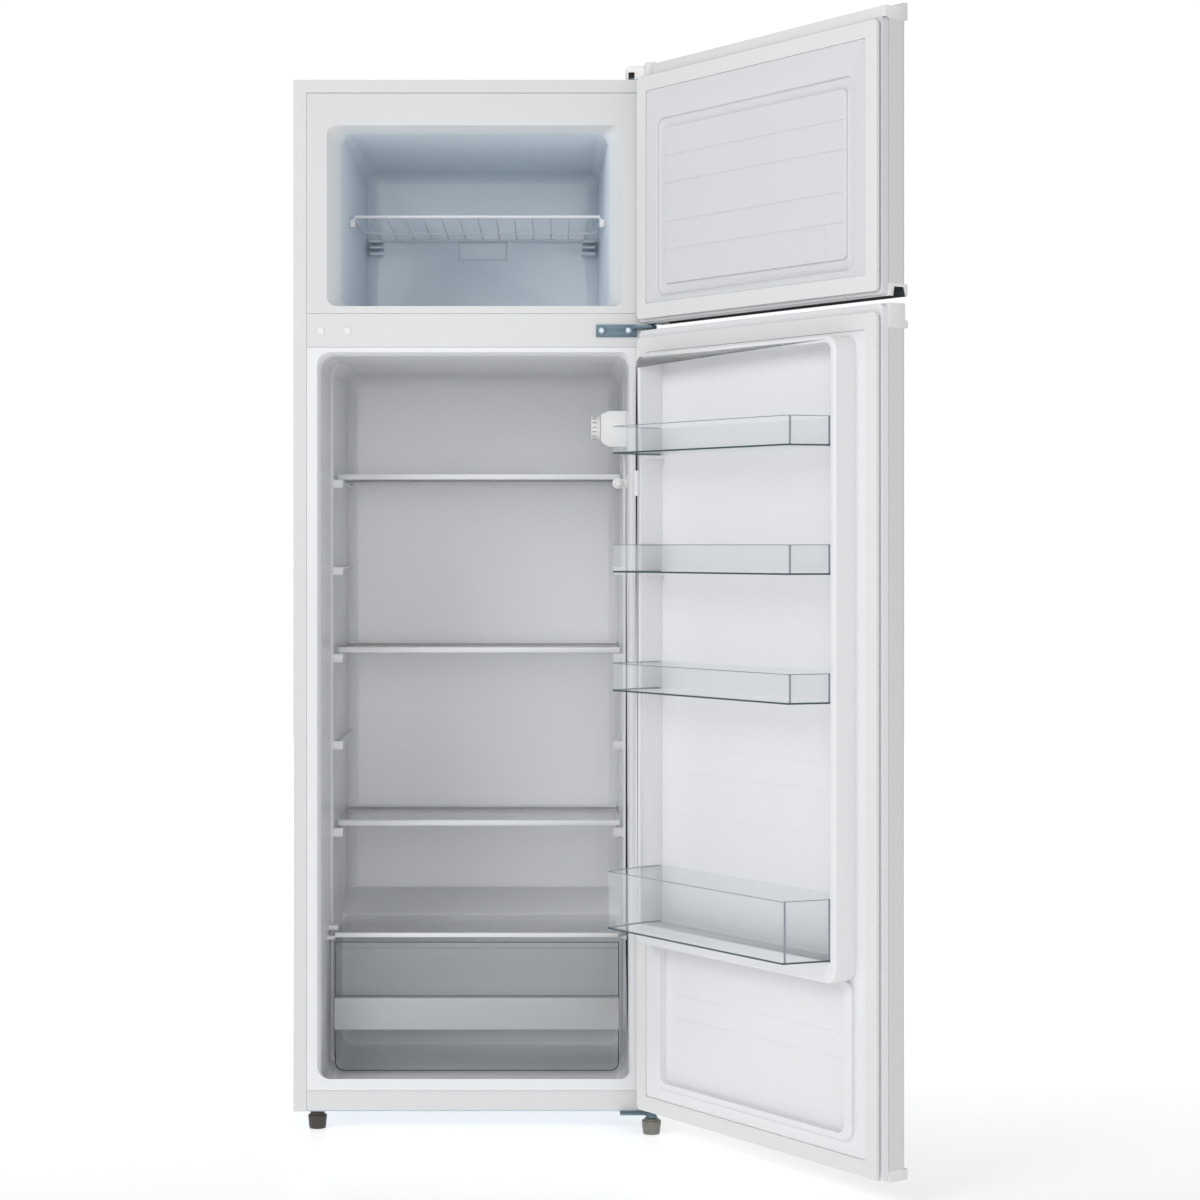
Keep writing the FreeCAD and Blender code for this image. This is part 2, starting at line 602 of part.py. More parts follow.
def make_fridge_liner():
    """A moulded box with a raised sill, a stepped wall, shelf rests and a hump at the back."""
    def hull(name, grow):
        start = "fridge_deep - fridge_back_round"
        steps = [(f"mouth_deep * {along}", f"mouth_round * {out}", f"mouth_round * {out}",
                  f"sill_high * {sill}")
                 for along, out, sill in ((0, 1, 1), (0.3, 0.45, 0.88), (0.65, 0.12, 0.45),
                                          (1, 0, 0))]
        steps += [("wall_step_at", "0", "0", "0"),
                  ("wall_step_at + wall_step", "-wall_step", "0", "0"),
                  (start, "-wall_step", "0", "0")]
        for along, moved in quarter(f"(fridge_back_round + {grow})"):
            steps.append((f"{start} + {along}", f"-wall_step - {moved}", f"-{moved}", "0"))
        made = make_hull(name, [
            (deep(place), f"-(fridge_half + {grow} + ({out}))",
             up(f"fridge_floor - {grow} + {lift}"), f"fridge_half + {grow} + ({out})",
             up(f"fridge_roof + {grow} + ({rise})"), f"fridge_round + {grow}")
            for place, out, rise, lift in steps])
        edge = f"front + hump_deep + {grow}"
        end = f"front + fridge_deep + {grow}"
        pocket(made, "YZ", "-side", "side", (outline, [
            (edge, "base - 50"), (edge, f"base + hump_front_up - {grow}"),
            (f"{end} + 1", f"base + hump_back_up - {grow}"), (f"{end} + 1", "base - 50"),
        ]))
        return made
    outer = hull("FridgeOuter", "liner_wall")
    inner = hull("FridgeInner", "0")
    border = block("FridgeBorder", ("-border", "border"), ("front", "front + liner_wall"),
                   ("base + rail_height", "base + crossbar_low"))

    def on_wall(name, sign, wall, out, y, z):
        """A block moulded on one side wall, standing out from it."""
        near, far = f"{sign} * ({wall} - {out})", f"{sign} * ({wall} + liner_wall / 2)"
        return block(name, (near, far) if sign > 0 else (far, near), y, z)
    rests = []
    for side, sign in (("Left", -1), ("Right", 1)):
        for level in range(int(SIZES["ledge_count"])):
            foot = f"ledge_first + {level} * ledge_pitch"
            rests.append(on_wall(f"Ledge{side}{level}", sign, "inner_half", "ledge_out",
                                 (deep("ledge_front + nub_deep - 1"),
                                  deep("fridge_deep - fridge_back_round")),
                                 (foot, f"{foot} + ledge_high")))
            rests.append(on_wall(f"Nub{side}{level}", sign, "inner_half", "nub_out",
                                 (deep("ledge_front"), deep("ledge_front + nub_deep")),
                                 (f"{foot} - nub_drop", f"{foot} + ledge_high + nub_rise")))
        rests.append(on_wall(f"CoverRest{side}", sign, "fridge_half", "cover_play + 0.6",
                             (deep("cover_front + 8"), deep("wall_step_at - 2")),
                             (up("cover_top - glass - 6.4"), up("cover_top - glass - seam"))))
        rests.append(on_wall(f"CoverStop{side}", sign, "fridge_half", "cover_play - 3",
                             (deep("cover_front + 20"), deep("cover_front + 42")),
                             (up("cover_top + 2"), up("cover_top + 10"))))
    liner = fuse("FridgeLiner", cut("FridgeTub", fuse("FridgeMass", outer, border), inner),
                 *rests)
    node("fridge_liner", liner)


# ---------------------------------------------------------------- doors

def make_steel(name, low, high):
    """The door's steel face with both long edges folded back."""
    made = body(name)
    reach = "steel_end + 20"
    inner = "door_side - door_steel"
    pad(made, "XY", low, high,
        (rounded, "-door_side", "door_out", "door_side", reach, "door_round"),
        (rounded, f"-({inner})", "door_out + door_steel", inner, f"{reach} - door_steel",
         "door_round - door_steel"))
    pocket(made, "XY", f"({low}) - 1", f"({high}) + 1", (outline, [
        ("-side - 1", "steel_end"), ("side + 1", "steel_end"),
        ("side + 1", f"{reach} + 1"), ("-side - 1", f"{reach} + 1")]))
    return made


def make_liner(name, low, high, seal_low, seal_high):
    """The moulded inside of a door: a flat rim under the gasket and a plateau within it."""
    made = body(name)
    rim = "door_side - 1"
    skin = "liner_wall"
    half = "door_side - gasket_inset - gasket_wide - seam"
    foot, head = f"{seal_low} + gasket_wide + seam", f"{seal_high} - gasket_wide - seam"
    pad(made, "XZ", "steel_end", "liner_face",
        (rounded, f"-({rim})", f"{low} + 1", rim, f"{high} - 1", "6"))
    pad(made, "XZ", f"liner_face - {skin}", "plateau_face",
        (rounded, f"-({half})", foot, half, head, "5"))
    pocket(made, "XZ", "steel_end", f"liner_face - {skin}",
           (rounded, f"-({rim} - {skin})", f"{low} + 1 + {skin}", f"{rim} - {skin}",
            f"{high} - 1 - {skin}", "5"))
    pocket(made, "XZ", f"liner_face - {skin} - 0.1", f"plateau_face - {skin}",
           (rounded, f"-({half} - {skin})", f"{foot} + {skin}", f"{half} - {skin}",
            f"{head} - {skin}", "4"))
    return made


def lift(made, shape, crest):
    """Raise the plateau to a crest within an outline, hollow behind."""
    pad(made, "XZ", "plateau_face - liner_wall", crest, shape("0"))
    pocket(made, "XZ", "plateau_face - liner_wall - 0.1", f"{crest} - liner_wall",
           shape("liner_wall"))


def sink(made, shape, floor, crest):
    """Press a flat-bottomed pocket down from a crest, with its own skin round it."""
    pad(made, "XZ", f"{floor} - liner_wall", crest, shape("-liner_wall"))
    pocket(made, "XZ", floor, f"{crest} + 1", shape("0"))


def make_gasket(name, low, high):
    """A soft frame: a narrow foot held in the liner and a wide hollow face with its magnet."""
    outer, inner = "door_side - gasket_inset", "door_side - gasket_inset - gasket_wide"
    foot = "gasket_wide / 4"
    skin = "1.2"
    made = body(name)

    def frame(drawing, shrink):
        rounded(drawing, f"-({outer} - {shrink})", f"{low} + {shrink}", f"{outer} - {shrink}",
                f"{high} - {shrink}", "7")
        rounded(drawing, f"-({inner} + {shrink})", f"{low} + gasket_wide - {shrink}",
                f"{inner} + {shrink}", f"{high} - gasket_wide + {shrink}", "4")
    pad(made, "XZ", "liner_face + 0.1", "liner_face + gasket_base", (frame, foot))
    pad(made, "XZ", "liner_face + gasket_base", "gasket_face", (frame, "0"))
    pocket(made, "XZ", f"liner_face + gasket_base + {skin}", f"gasket_face - {skin}",
           (frame, f"{skin} + 1"))
    return made


def cap_block(name, points):
    """A moulded end cap, its cross-section drawn across the door and run along its width."""
    made = body(name)
    pad(made, "YZ", "-door_side", "door_side", (outline, points))
    return made


def pin_bore(name, low, high):
    """The bore that a hinge pin turns in."""
    return rod(name, ("pin_across", "pin_y", low), f"({high}) - ({low})", "pin_radius + pin_play")


def make_freezer_door():
    low, high = "base + freezer_door_low", "base + freezer_door_top"
    steel_low, steel_high = f"{low} + grip_cap / 2", f"{high} - top_cap"
    seal_low, seal_high = up("freezer_door_low + seal_over_bar"), \
        up("cabinet_height - seal_under_top")
    on_door("freezer_door_panel", make_steel("FreezerDoorSteel", steel_low, steel_high))
    liner = make_liner("FreezerDoorLiner", f"{low} + 1", up("cabinet_height + seam"),
                       seal_low, seal_high)

    def frame(drawing, grow, inset):
        rounded(drawing, f"-(panel_half + {grow} - {inset})", up(f"panel_low - {grow} + {inset}"),
                f"panel_half + {grow} - {inset}", up(f"panel_top + {grow} - {inset}"),
                f"groove_round + {grow} - {inset} / 2")
    pad(liner, "XZ", "plateau_face - groove_deep - liner_wall", "plateau_face",
        (frame, "liner_wall", "0"), (frame, "-liner_wall", "groove_wide"))
    pocket(liner, "XZ", "plateau_face - groove_deep", "plateau_face + 1",
           (frame, "0", "0"), (frame, "0", "groove_wide"))
    for drop in (58, 98, 155, 196):
        line = up(f"panel_top - {drop}")
        pocket(liner, "XZ", "plateau_face - line_deep", "plateau_face + 1", (outline, [
            ("-panel_half + groove_wide + 4", line), ("panel_half - groove_wide - 4", line),
            ("panel_half - groove_wide - 4", f"{line} + line_wide"),
            ("-panel_half + groove_wide + 4", f"{line} + line_wide")]))
    pad(liner, "XZ", "plateau_face - 0.5", "plateau_face + line_deep",
        (rounded, "-panel_half + 56", up("panel_low + 16"), "-panel_half + 115",
         up("panel_low + 60"), "6"))
    on_door("freezer_door_liner", liner)
    on_door("freezer_door_gasket", make_gasket("FreezerGasket", seal_low, seal_high))
    lip = "door_out - cap_proud"
    shoulder = "base + cabinet_height + 0.2"
    cap = cap_block("FreezerTopCapMass", [
        (lip, steel_high), (lip, f"{high} + tip_rise - 1"), ("door_out + 3", f"{high} + tip_rise"),
        ("door_out + 9", high), ("steel_end + 6", high), ("steel_end + 6", shoulder),
        ("steel_end", shoulder), ("steel_end", steel_high),
    ])
    notch = block("FreezerTopNotch", ("pin_across - notch_wide", "side + 1"),
                  ("door_out + notch_wall", "front"), ("notch_floor", f"{high} + 9"))
    key = block("FreezerTopKey", ("-door_side + 3", "door_side - 3"),
                ("door_out + 3", "steel_end - 2"), (f"{steel_high} - 16", steel_high))
    socket = pin_bore("FreezerTopSocket", f"{steel_high} - 17", f"{high} + 5")
    on_door("freezer_door_top_cap",
            cut("FreezerTopCap", fuse("FreezerTopBody", cap, key), notch, socket))
    bottom = cap_block("FreezerBottomCapMass", [
        (lip, f"{low} + 3"), (lip, steel_low), ("steel_end", steel_low), ("steel_end", low),
        ("steel_end - 7", low), ("steel_end - 9", f"{low} + grip_cap / 2 - 4"),
        ("door_out + 6", f"{low} + grip_cap / 2 - 4"), ("door_out + 2.5", low),
        ("door_out", low),
    ])
    boss = block("FreezerBottomBoss", ("pin_across - notch_wide", "door_side - 1.2"),
                 ("door_out + 6.5", "steel_end - 1"), (low, f"{steel_low} + 8"))
    on_door("freezer_door_bottom_cap",
            cut("FreezerBottomCap", fuse("FreezerBottomBody", bottom, boss),
                pin_bore("FreezerBottomSocket", f"{low} - 1", f"{low} + pin_reach + 1.5")))


SMALL_BINS = (("top_door_bin", "bin_top_low"), ("middle_door_bin", "bin_middle_low"),
              ("lower_door_bin", "bin_bottom_low"))
BOTTLE_BIN = (("bottle_bin", "bottle_bin_low"),)


def make_fridge_door():
    low, high = "base + fridge_door_low", "base + fridge_door_top"
    steel_low, steel_high = f"{low} + thin_cap", f"{high} - grip_cap"
    seal_low, seal_high = f"{low} + gasket_inset", f"{high} - seal_under_door"
    on_door("fridge_door_panel", make_steel("FridgeDoorSteel", steel_low, steel_high))
    moulding = make_liner("FridgeDoorMoulding", f"{low} + 1", f"{high} - 1", seal_low, seal_high)

    def dike(inset):
        return (rounded, f"-(dike_half - {inset})", up(f"dike_low + {inset}"),
                f"dike_half - {inset}", up(f"dike_top - {inset}"), f"dike_round - {inset}")

    def tub(inset):
        half, head = f"(tub_half - ({inset}))", f"tub_top - ({inset})"
        return (outline, [
            (f"-{half}", up(f"tub_low + {inset}")), (half, up(f"tub_low + {inset}")),
            (half, up(f"{head} - tub_corner")),
            (f"{half} - tub_corner * 0.3", up(f"{head} - tub_corner * 0.3")),
            (f"{half} - tub_corner", up(head)), (f"-{half} + tub_corner", up(head)),
            (f"-{half} + tub_corner * 0.3", up(f"{head} - tub_corner * 0.3")),
            (f"-{half}", up(f"{head} - tub_corner")),
        ])

    def bead(inset):
        return (rounded, f"-(recess_half + bead_wide - {inset})",
                up(f"recess_low - bead_edge + {inset}"), f"recess_half + bead_wide - {inset}",
                up(f"dike_low + 1 - {inset}"), f"recess_round + 4 - {inset}")

    def recess(inset):
        return (rounded, f"-(recess_half - ({inset}))", up(f"recess_low + {inset}"),
                f"recess_half - ({inset})", up(f"recess_top - ({inset})"),
                f"recess_round - ({inset})")
    lift(moulding, dike, "front + dike_high")
    sink(moulding, tub, "liner_face", "front + dike_high")
    lift(moulding, bead, "bead_crest")
    sink(moulding, recess, "liner_face", "bead_crest")
    presser = block("SwitchPresser", ("tub_half + 0.4", "tub_half + 8"),
                    ("front + dike_high - 1", "front + switch_front - button_out - 0.6"),
                    (up("switch_up - 22"), up("switch_up + 15")))
    lugs = [
        block(f"BinLug{number}{side}",
              (f"{sign} * (tub_half - 2) - 3", f"{sign} * (tub_half - 2) + 3"),
              ("liner_face - 1", "front + bin_side - 8"),
              (up(f"{rest} - 6"), up(f"{rest} - 0.4")))
        for number, (_, rest) in enumerate(SMALL_BINS)
        for side, sign in (("Left", -1), ("Right", 1))
    ]
    on_door("fridge_door_liner", fuse("FridgeDoorLiner", moulding, presser, *lugs))
    on_door("fridge_door_gasket", make_gasket("FridgeGasket", seal_low, seal_high))
    lip = "door_out - bead_proud"
    face = f"{steel_high} + bead_tall"
    mass = cap_block("FridgeTopCapMass", [
        (lip, steel_high), (lip, f"{face} - 2"), ("door_out + 2.5", f"{face} + 1"),
        ("door_out + 2.5", f"{high} - 2"), ("door_out + 4.5", high), ("steel_end", high),
        ("steel_end", steel_high),
    ])
    scoop = block("FridgeTopScoop", ("-door_side + 30", "pin_across - notch_wide - 12"),
                  ("door_out - 1", "door_out + grip_deep"), (f"{face} + 1.2", f"{high} - 6"))
    boss = block("FridgeTopBoss", ("pin_across - notch_wide", "door_side - 1.2"),
                 ("door_out + 6.5", "steel_end - 1"), (f"{steel_high} - 2", high))
    key = block("FridgeTopKey", ("-door_side + 3", "door_side - 3"),
                ("door_out + 3", "steel_end - 2"), (f"{steel_high} - 9", f"{steel_high} + 1"))
    on_door("fridge_door_top_cap",
            cut("FridgeTopCap", fuse("FridgeTopBody", mass, boss, key), scoop,
                pin_bore("FridgeTopSocket", f"{high} - pin_reach - 1.5", f"{high} + 1")))
    lip = "door_out - cap_proud"
    bottom = cap_block("FridgeBottomCapMass", [
        (lip, low), (lip, steel_low), ("steel_end", steel_low), ("steel_end", low),
    ])
    stay = block("FridgeBottomKey", ("-door_side + 3", "door_side - 3"),
                 ("door_out + 3", "steel_end - 2"), (f"{steel_low} - 1", f"{steel_low} + 9"))
    on_door("fridge_door_bottom_cap",
            cut("FridgeBottomCap", fuse("FridgeBottomBody", bottom, stay),
                pin_bore("FridgeBottomSocket", f"{low} - 1", f"{low} + pin_reach + 1.5")))


def make_bin(name, low, tall, reach):
    """A clear tray with slanted front corners, open at the top."""
    def plan(shrink):
        half, bend = f"bin_half - {shrink}", f"bin_bend - {shrink}"
        rear, reach_y = f"liner_face + bin_gap + {shrink}", f"front + {reach} - {shrink}"
        return [
            (f"-({half})", rear), (half, rear), (half, "front + bin_side"), (bend, reach_y),
            (f"-({bend})", reach_y), (f"-({half})", "front + bin_side"),
        ]
    made = body(name.title().replace("_", ""))
    pad(made, "XY", up(low), up(f"{low} + {tall}"), (outline, plan("0")))
    pocket(made, "XY", up(f"{low} + bin_wall"), up(f"{low} + {tall} + 1"),
           (outline, plan("bin_wall")))
    on_door(name, made)


def make_bins():
    for name, low in SMALL_BINS:
        make_bin(name, low, "small_bin_high", "small_bin_front")
    for name, low in BOTTLE_BIN:
        make_bin(name, low, "bottle_bin_high", "bottle_bin_front")


# ---------------------------------------------------------------- hinges

def arm(name, low, high, rear, half="arm_half"):
    """A flat arm with a round end about the hinge axis, running back over the cabinet."""
    return fuse(name,
                rod(name + "Eye", ("pin_across", "pin_y", low), f"({high}) - ({low})", half),
                block(name + "Bar", (f"pin_across - {half}", f"pin_across + {half} - 0.5"),
                      ("pin_y", rear), (low, high)))


def pin(name, low, high):
    return rod(name, ("pin_across", "pin_y", low), f"({high}) - ({low})", "pin_radius")


def screw(name, x, y, z, axis, head_first=True):
    """A pan head screw; its head lies at the place given and its shank runs along the axis."""
    sign = 1 if head_first else -1
    step = {"X": (1, 0, 0), "Y": (0, 1, 0), "Z": (0, 0, 1)}[axis]
    long = "screw_long" if sign > 0 else "-screw_long"
    head_at = [f"{place} - ({sign * s}) * screw_head * {1 if sign > 0 else 0}"
               for place, s in zip((x, y, z), step)]
    shank_at = [place if sign > 0 else f"{place} + ({s}) * ({long})"
                for place, s in zip((x, y, z), step)]
    return fuse(name, rod(name + "Head", head_at, "screw_head", "screw_radius", axis),
                rod(name + "Shank", shank_at, "screw_long", "screw_shank", axis))


def make_hinges():
    plate_top = "top + hinge_plate + 0.1"
    top_arm = fuse("TopHingeMass",
                   arm("TopArm", "top + 0.1", plate_top, "front + 12", "top_arm_half"),
                   block("TopPlate", ("cover_left + 4", "side - 2.5"),
                         ("front + 6", "front + 44"), ("top + 0.1", plate_top)),
                   pin("TopPin", "notch_floor - pin_reach + 3", f"{plate_top} + 2"))
    holes = [rod(f"TopHole{i}", (x, y, "top - 2"), "9", "screw_shank + screw_play")
             for i, (x, y) in enumerate(TOP_SCREWS)]
    node("top_hinge", cut("TopHinge", top_arm, *holes))
    shell = "cover_wall"
    cover = body("TopHingeCover")
    eye = "(top_arm_half + cover_wall + 2.4)"
    outer = [
        ("cover_left", "front + 2"), (f"pin_across - {eye}", "front - 6"),
        (f"pin_across - {eye}", "pin_y - 5"), ("pin_across - 5", f"pin_y - {eye}"),
        ("side - 3", f"pin_y - {eye}"), ("side", "pin_y - 5"), ("side", "front + cover_long"),
        ("cover_left", "front + cover_long"),
    ]
    inner = [
        (f"cover_left + {shell}", f"front + 2 + {shell}"),
        (f"pin_across - {eye} + {shell}", f"front - 6 + {shell}"),
        (f"pin_across - {eye} + {shell}", f"pin_y - 5 + {shell} / 2"),
        (f"pin_across - 5 + {shell} / 2", f"pin_y - {eye} + {shell}"),
        (f"side - 3 - {shell} / 2", f"pin_y - {eye} + {shell}"),
        (f"side - {shell}", f"pin_y - 5 + {shell} / 2"),
        (f"side - {shell}", f"front + cover_long - {shell}"),
        (f"cover_left + {shell}", f"front + cover_long - {shell}"),
    ]
    pad(cover, "XY", "top + 0.2", "top + cover_high", (outline, outer))
    pocket(cover, "XY", "top", f"top + cover_high - {shell}", (outline, inner))
    pocket(cover, "XZ", "front - 10", "front + 10", (outline, [
        ("cover_left + 3", "top"), ("cover_left + 12", "top"), ("cover_left + 12", "top + 11"),
        ("cover_left + 3", "top + 11")]))
    node("top_hinge_cover", cover)

    mid = fuse("MiddleHinge",
               block("MidPlate", ("mid_plate_left", "mid_plate_right"),
                     ("front - hinge_plate - 0.1", "front - 0.1"),
                     (up("mid_plate_low"), up("mid_plate_top"))),
               block("MidShelf", ("mid_plate_right - 6", "pin_across"),
                     ("pin_y - arm_half + 2", "front - 0.1"), ("arm_low", "arm_low + arm_thick")),
               arm("MidArm", "arm_low", "arm_low + arm_thick", "front - 0.1"),
               pin("MidPin", "gap_low - pin_reach", "gap_top + pin_reach"))
    holes = [rod(f"MidHole{i}", (across, "front - 9", up("(mid_plate_low + mid_plate_top) / 2")),
                 "12", "screw_shank + 0.1", "Y") for i, across in enumerate(MID_SCREWS)]
    node("middle_hinge", cut("MiddleHingeCut", mid, *holes))

    low_top = "base - 0.2"
    low_bottom = "base - 0.2 - hinge_plate"
    lower = fuse("BottomHinge",
                 block("LowPlate", ("side - 54.5", "side - 1"), ("front - 12", "front + 60"),
                       (low_bottom, low_top)),
                 arm("LowArm", low_bottom, low_top, "front + 8"),
                 rod("LowCollar", ("pin_across", "pin_y", low_top),
                     "fridge_door_low - 0.5", "pin_radius + 3"),
                 pin("LowPin", low_top, "base + fridge_door_low + pin_reach"))
    tapped = rod("LowTapped", ("pin_across", "pin_y", f"{low_bottom} - 1"),
                 "hinge_plate + 3", "stud_radius - 2 + hole_play")
    holes = [rod(f"LowHole{i}", (x, y, f"{low_bottom} - 1"), "9", "screw_shank + 0.1")
             for i, (x, y) in enumerate(LOW_SCREWS)]
    node("bottom_hinge", cut("BottomHingeCut", lower, tapped, *holes))

    screws = [screw(f"MidScrew{i}", across, "front - hinge_plate - 0.2",
                    up("(mid_plate_low + mid_plate_top) / 2"), "Y")
              for i, across in enumerate(MID_SCREWS)]
    screws += [screw(f"LowScrew{i}", x, y, f"{low_bottom} - 0.1", "Z")
               for i, (x, y) in enumerate(LOW_SCREWS)]
    screws += [screw(f"TopScrew{i}", x, y, f"{plate_top} + 0.1", "Z", head_first=False)
               for i, (x, y) in enumerate(TOP_SCREWS)]
    node("hinge_screws", group("HingeScrews", *screws))
    return plate_top


# ---------------------------------------------------------------- feet and rollers

def make_feet():
    def profile(stud, stud_top):
        return [
            ("0", "0"), ("foot_sole", "0"), ("foot_radius", "foot_height - foot_flare"),
            ("foot_neck", "foot_height - foot_flare + 2.5"),
            ("foot_neck", "foot_height - foot_neck_high + 2"),
            (stud, "foot_height - foot_neck_high + 2"), (stud, stud_top), ("0", stud_top),
        ]
    left = body("LeftFoot")
    spin(left, ("-foot_across", "front + foot_at", "0"),
         profile("stud_radius", "foot_height + stud_long"))
    node("left_front_foot", left)
    right = body("RightFoot")
    drop = "foot_height - hinge_plate - 1.2"
    spin(right, ("pin_across", "pin_y", "0"), [
        ("0", "0"), ("foot_sole", "0"), ("foot_radius", f"{drop} - 8"),
        ("foot_radius", f"{drop} - 3"), ("foot_neck", f"{drop} - 3"), ("foot_neck", drop),
        ("stud_radius - 2", drop), ("stud_radius - 2", "foot_height - 1.4"),
        ("0", "foot_height - 1.4"),
    ])
    node("right_front_foot", right)


def make_rollers():
    brackets = []
    for name, sign in (("left", -1), ("right", 1)):
        across = f"{sign} * roller_across"
        wheel = body(name.title() + "Roller")
        drawing_place = f"{across} - roller_wide / 2"
        pad(wheel, "YZ", drawing_place, f"{across} + roller_wide / 2",
            (disc, "roller_y", "roller_radius", "roller_radius"),
            (disc, "roller_y", "roller_radius", "axle_radius + running_play"))
        node(f"{name}_rear_roller", wheel)
        legs = [
            block(f"RollerLeg{name}{i}",
                  (f"{across} + {s} * (roller_wide / 2 + 1.5) - bracket_steel / 2",
                   f"{across} + {s} * (roller_wide / 2 + 1.5) + bracket_steel / 2"),
                  ("roller_y - 9", "roller_y + 9"), ("roller_radius - 6", "base - 0.1"))
            for i, s in enumerate((-1, 1))
        ]
        bridge = block(f"RollerBridge{name}",
                       (f"{across} - roller_wide / 2 - 2", f"{across} + roller_wide / 2 + 2"),
                       ("roller_y - 9", "roller_y + 9"), ("base - 0.1 - bracket_steel / 2", "base - 0.1"))
        axle = rod(f"RollerAxle{name}",
                   (f"{across} - roller_wide / 2 - 4", "roller_y", "roller_radius"),
                   "roller_wide + 8", "axle_radius", "X")
        brackets.append(fuse(f"RollerBracket{name}", bridge, *legs, axle))
    node("roller_brackets", group("RollerBrackets", *brackets))


# ---------------------------------------------------------------- shelves and crisper

SHELVES = (("upper", 4), ("middle", 2), ("lower", 0))


def make_shelves():
    for name, level in SHELVES:
        seat = f"ledge_first + {level} * ledge_pitch + ledge_high + shelf_lift"
        glass = block(f"{name.title()}Glass", ("-shelf_half + 1.5", "shelf_half - 1.5"),
                      ("front + shelf_front + trim_deep / 3", "front + shelf_back - trim_deep / 3"),
                      (f"{seat} + 1.8", f"{seat} + 1.8 + glass"))
        node(f"{name}_shelf_glass", glass)
        trims = []
        for end, near, far in (("Front", "shelf_front", "shelf_front + trim_deep"),
                               ("Rear", "shelf_back - trim_deep", "shelf_back")):
            strip = block(f"{name.title()}{end}Strip", ("-shelf_half", "shelf_half"),
                          (deep(near), deep(far)), (seat, f"{seat} + trim_high"))
            slot = block(f"{name.title()}{end}Slot", ("-shelf_half - 1", "shelf_half + 1"),
                         ("front + shelf_front + trim_deep / 3",
                          "front + shelf_back - trim_deep / 3"),
                         (f"{seat} + 1.8", f"{seat} + 1.8 + glass"))
            trims.append(cut(f"{name.title()}{end}Trim", strip, slot))
        node(f"{name}_shelf_trims", group(f"{name.title()}Trims", *trims))


def make_crisper():
    glass = body("CrisperGlass")
    pad(glass, "XY", up("cover_top - glass"), up("cover_top"), (outline, [
        ("-cover_half", deep("cover_front + 4")), ("cover_half", deep("cover_front + 4")),
        ("cover_half", deep("cover_front + 8")), ("cover_ear", deep("cover_front + 8")),
        ("cover_ear", deep("cover_front + cover_ear_deep")),
        ("cover_half", deep("cover_front + cover_ear_deep")),
        ("cover_half", deep("cover_back")), ("-cover_half", deep("cover_back")),
        ("-cover_half", deep("cover_front + cover_ear_deep")),
        ("-cover_ear", deep("cover_front + cover_ear_deep")),
        ("-cover_ear", deep("cover_front + 8")), ("-cover_half", deep("cover_front + 8")),
    ]))
    node("crisper_cover_glass", glass)
    strip = block("CoverStrip", ("-cover_half", "cover_half"),
                  (deep("cover_front"), deep("cover_front + 7.5")),
                  (up("cover_top - glass - 1.5"), up("cover_top + 1.2")))
    slot = block("CoverSlot", ("-cover_half - 1", "cover_half + 1"),
                 (deep("cover_front + 4"), deep("cover_front + 20")),
                 (up("cover_top - glass"), up("cover_top")))
    node("crisper_cover_trim", cut("CoverTrim", strip, slot))

    drawer = body("CrisperDrawer")
    pad(drawer, "XZ", deep("crisper_front"), deep("crisper_back"),
        (rounded, "-crisper_half", up("crisper_low"), "crisper_half", up("crisper_top + 30"),
         "crisper_round"))
    pocket(drawer, "XY", up("crisper_top"), up("crisper_top + 31"), (outline, [
        ("-side", deep("0")), ("side", deep("0")), ("side", deep("crisper_back + 1")),
        ("-side", deep("crisper_back + 1"))]))
    inner = "crisper_half - crisper_wall"
    pocket(drawer, "XZ", deep("crisper_front + crisper_wall"), deep("crisper_back - crisper_wall"),
           (rounded, f"-({inner})", up("crisper_low + crisper_wall"), inner,
            up("crisper_top + 30"), "crisper_round - crisper_wall"))
    grip = body("CrisperGrip")
    out = deep("crisper_front - grip_out")
    face = deep("crisper_front + crisper_wall / 2")
    pad(grip, "YZ", "-crisper_half + 1", "crisper_half - 1", (outline, [
        (face, up("grip_top")), (f"{out} + 3", up("grip_top")), (out, up("grip_top - 3")),
        (out, up("grip_low")), (f"{out} + grip_wall", up("grip_low")),
        (f"{out} + grip_wall", up("grip_top - 3 - grip_wall")),
        (face, up("grip_top - 3 - grip_wall")),
    ]))
    node("crisper_drawer", fuse("CrisperWhole", drawer, grip))


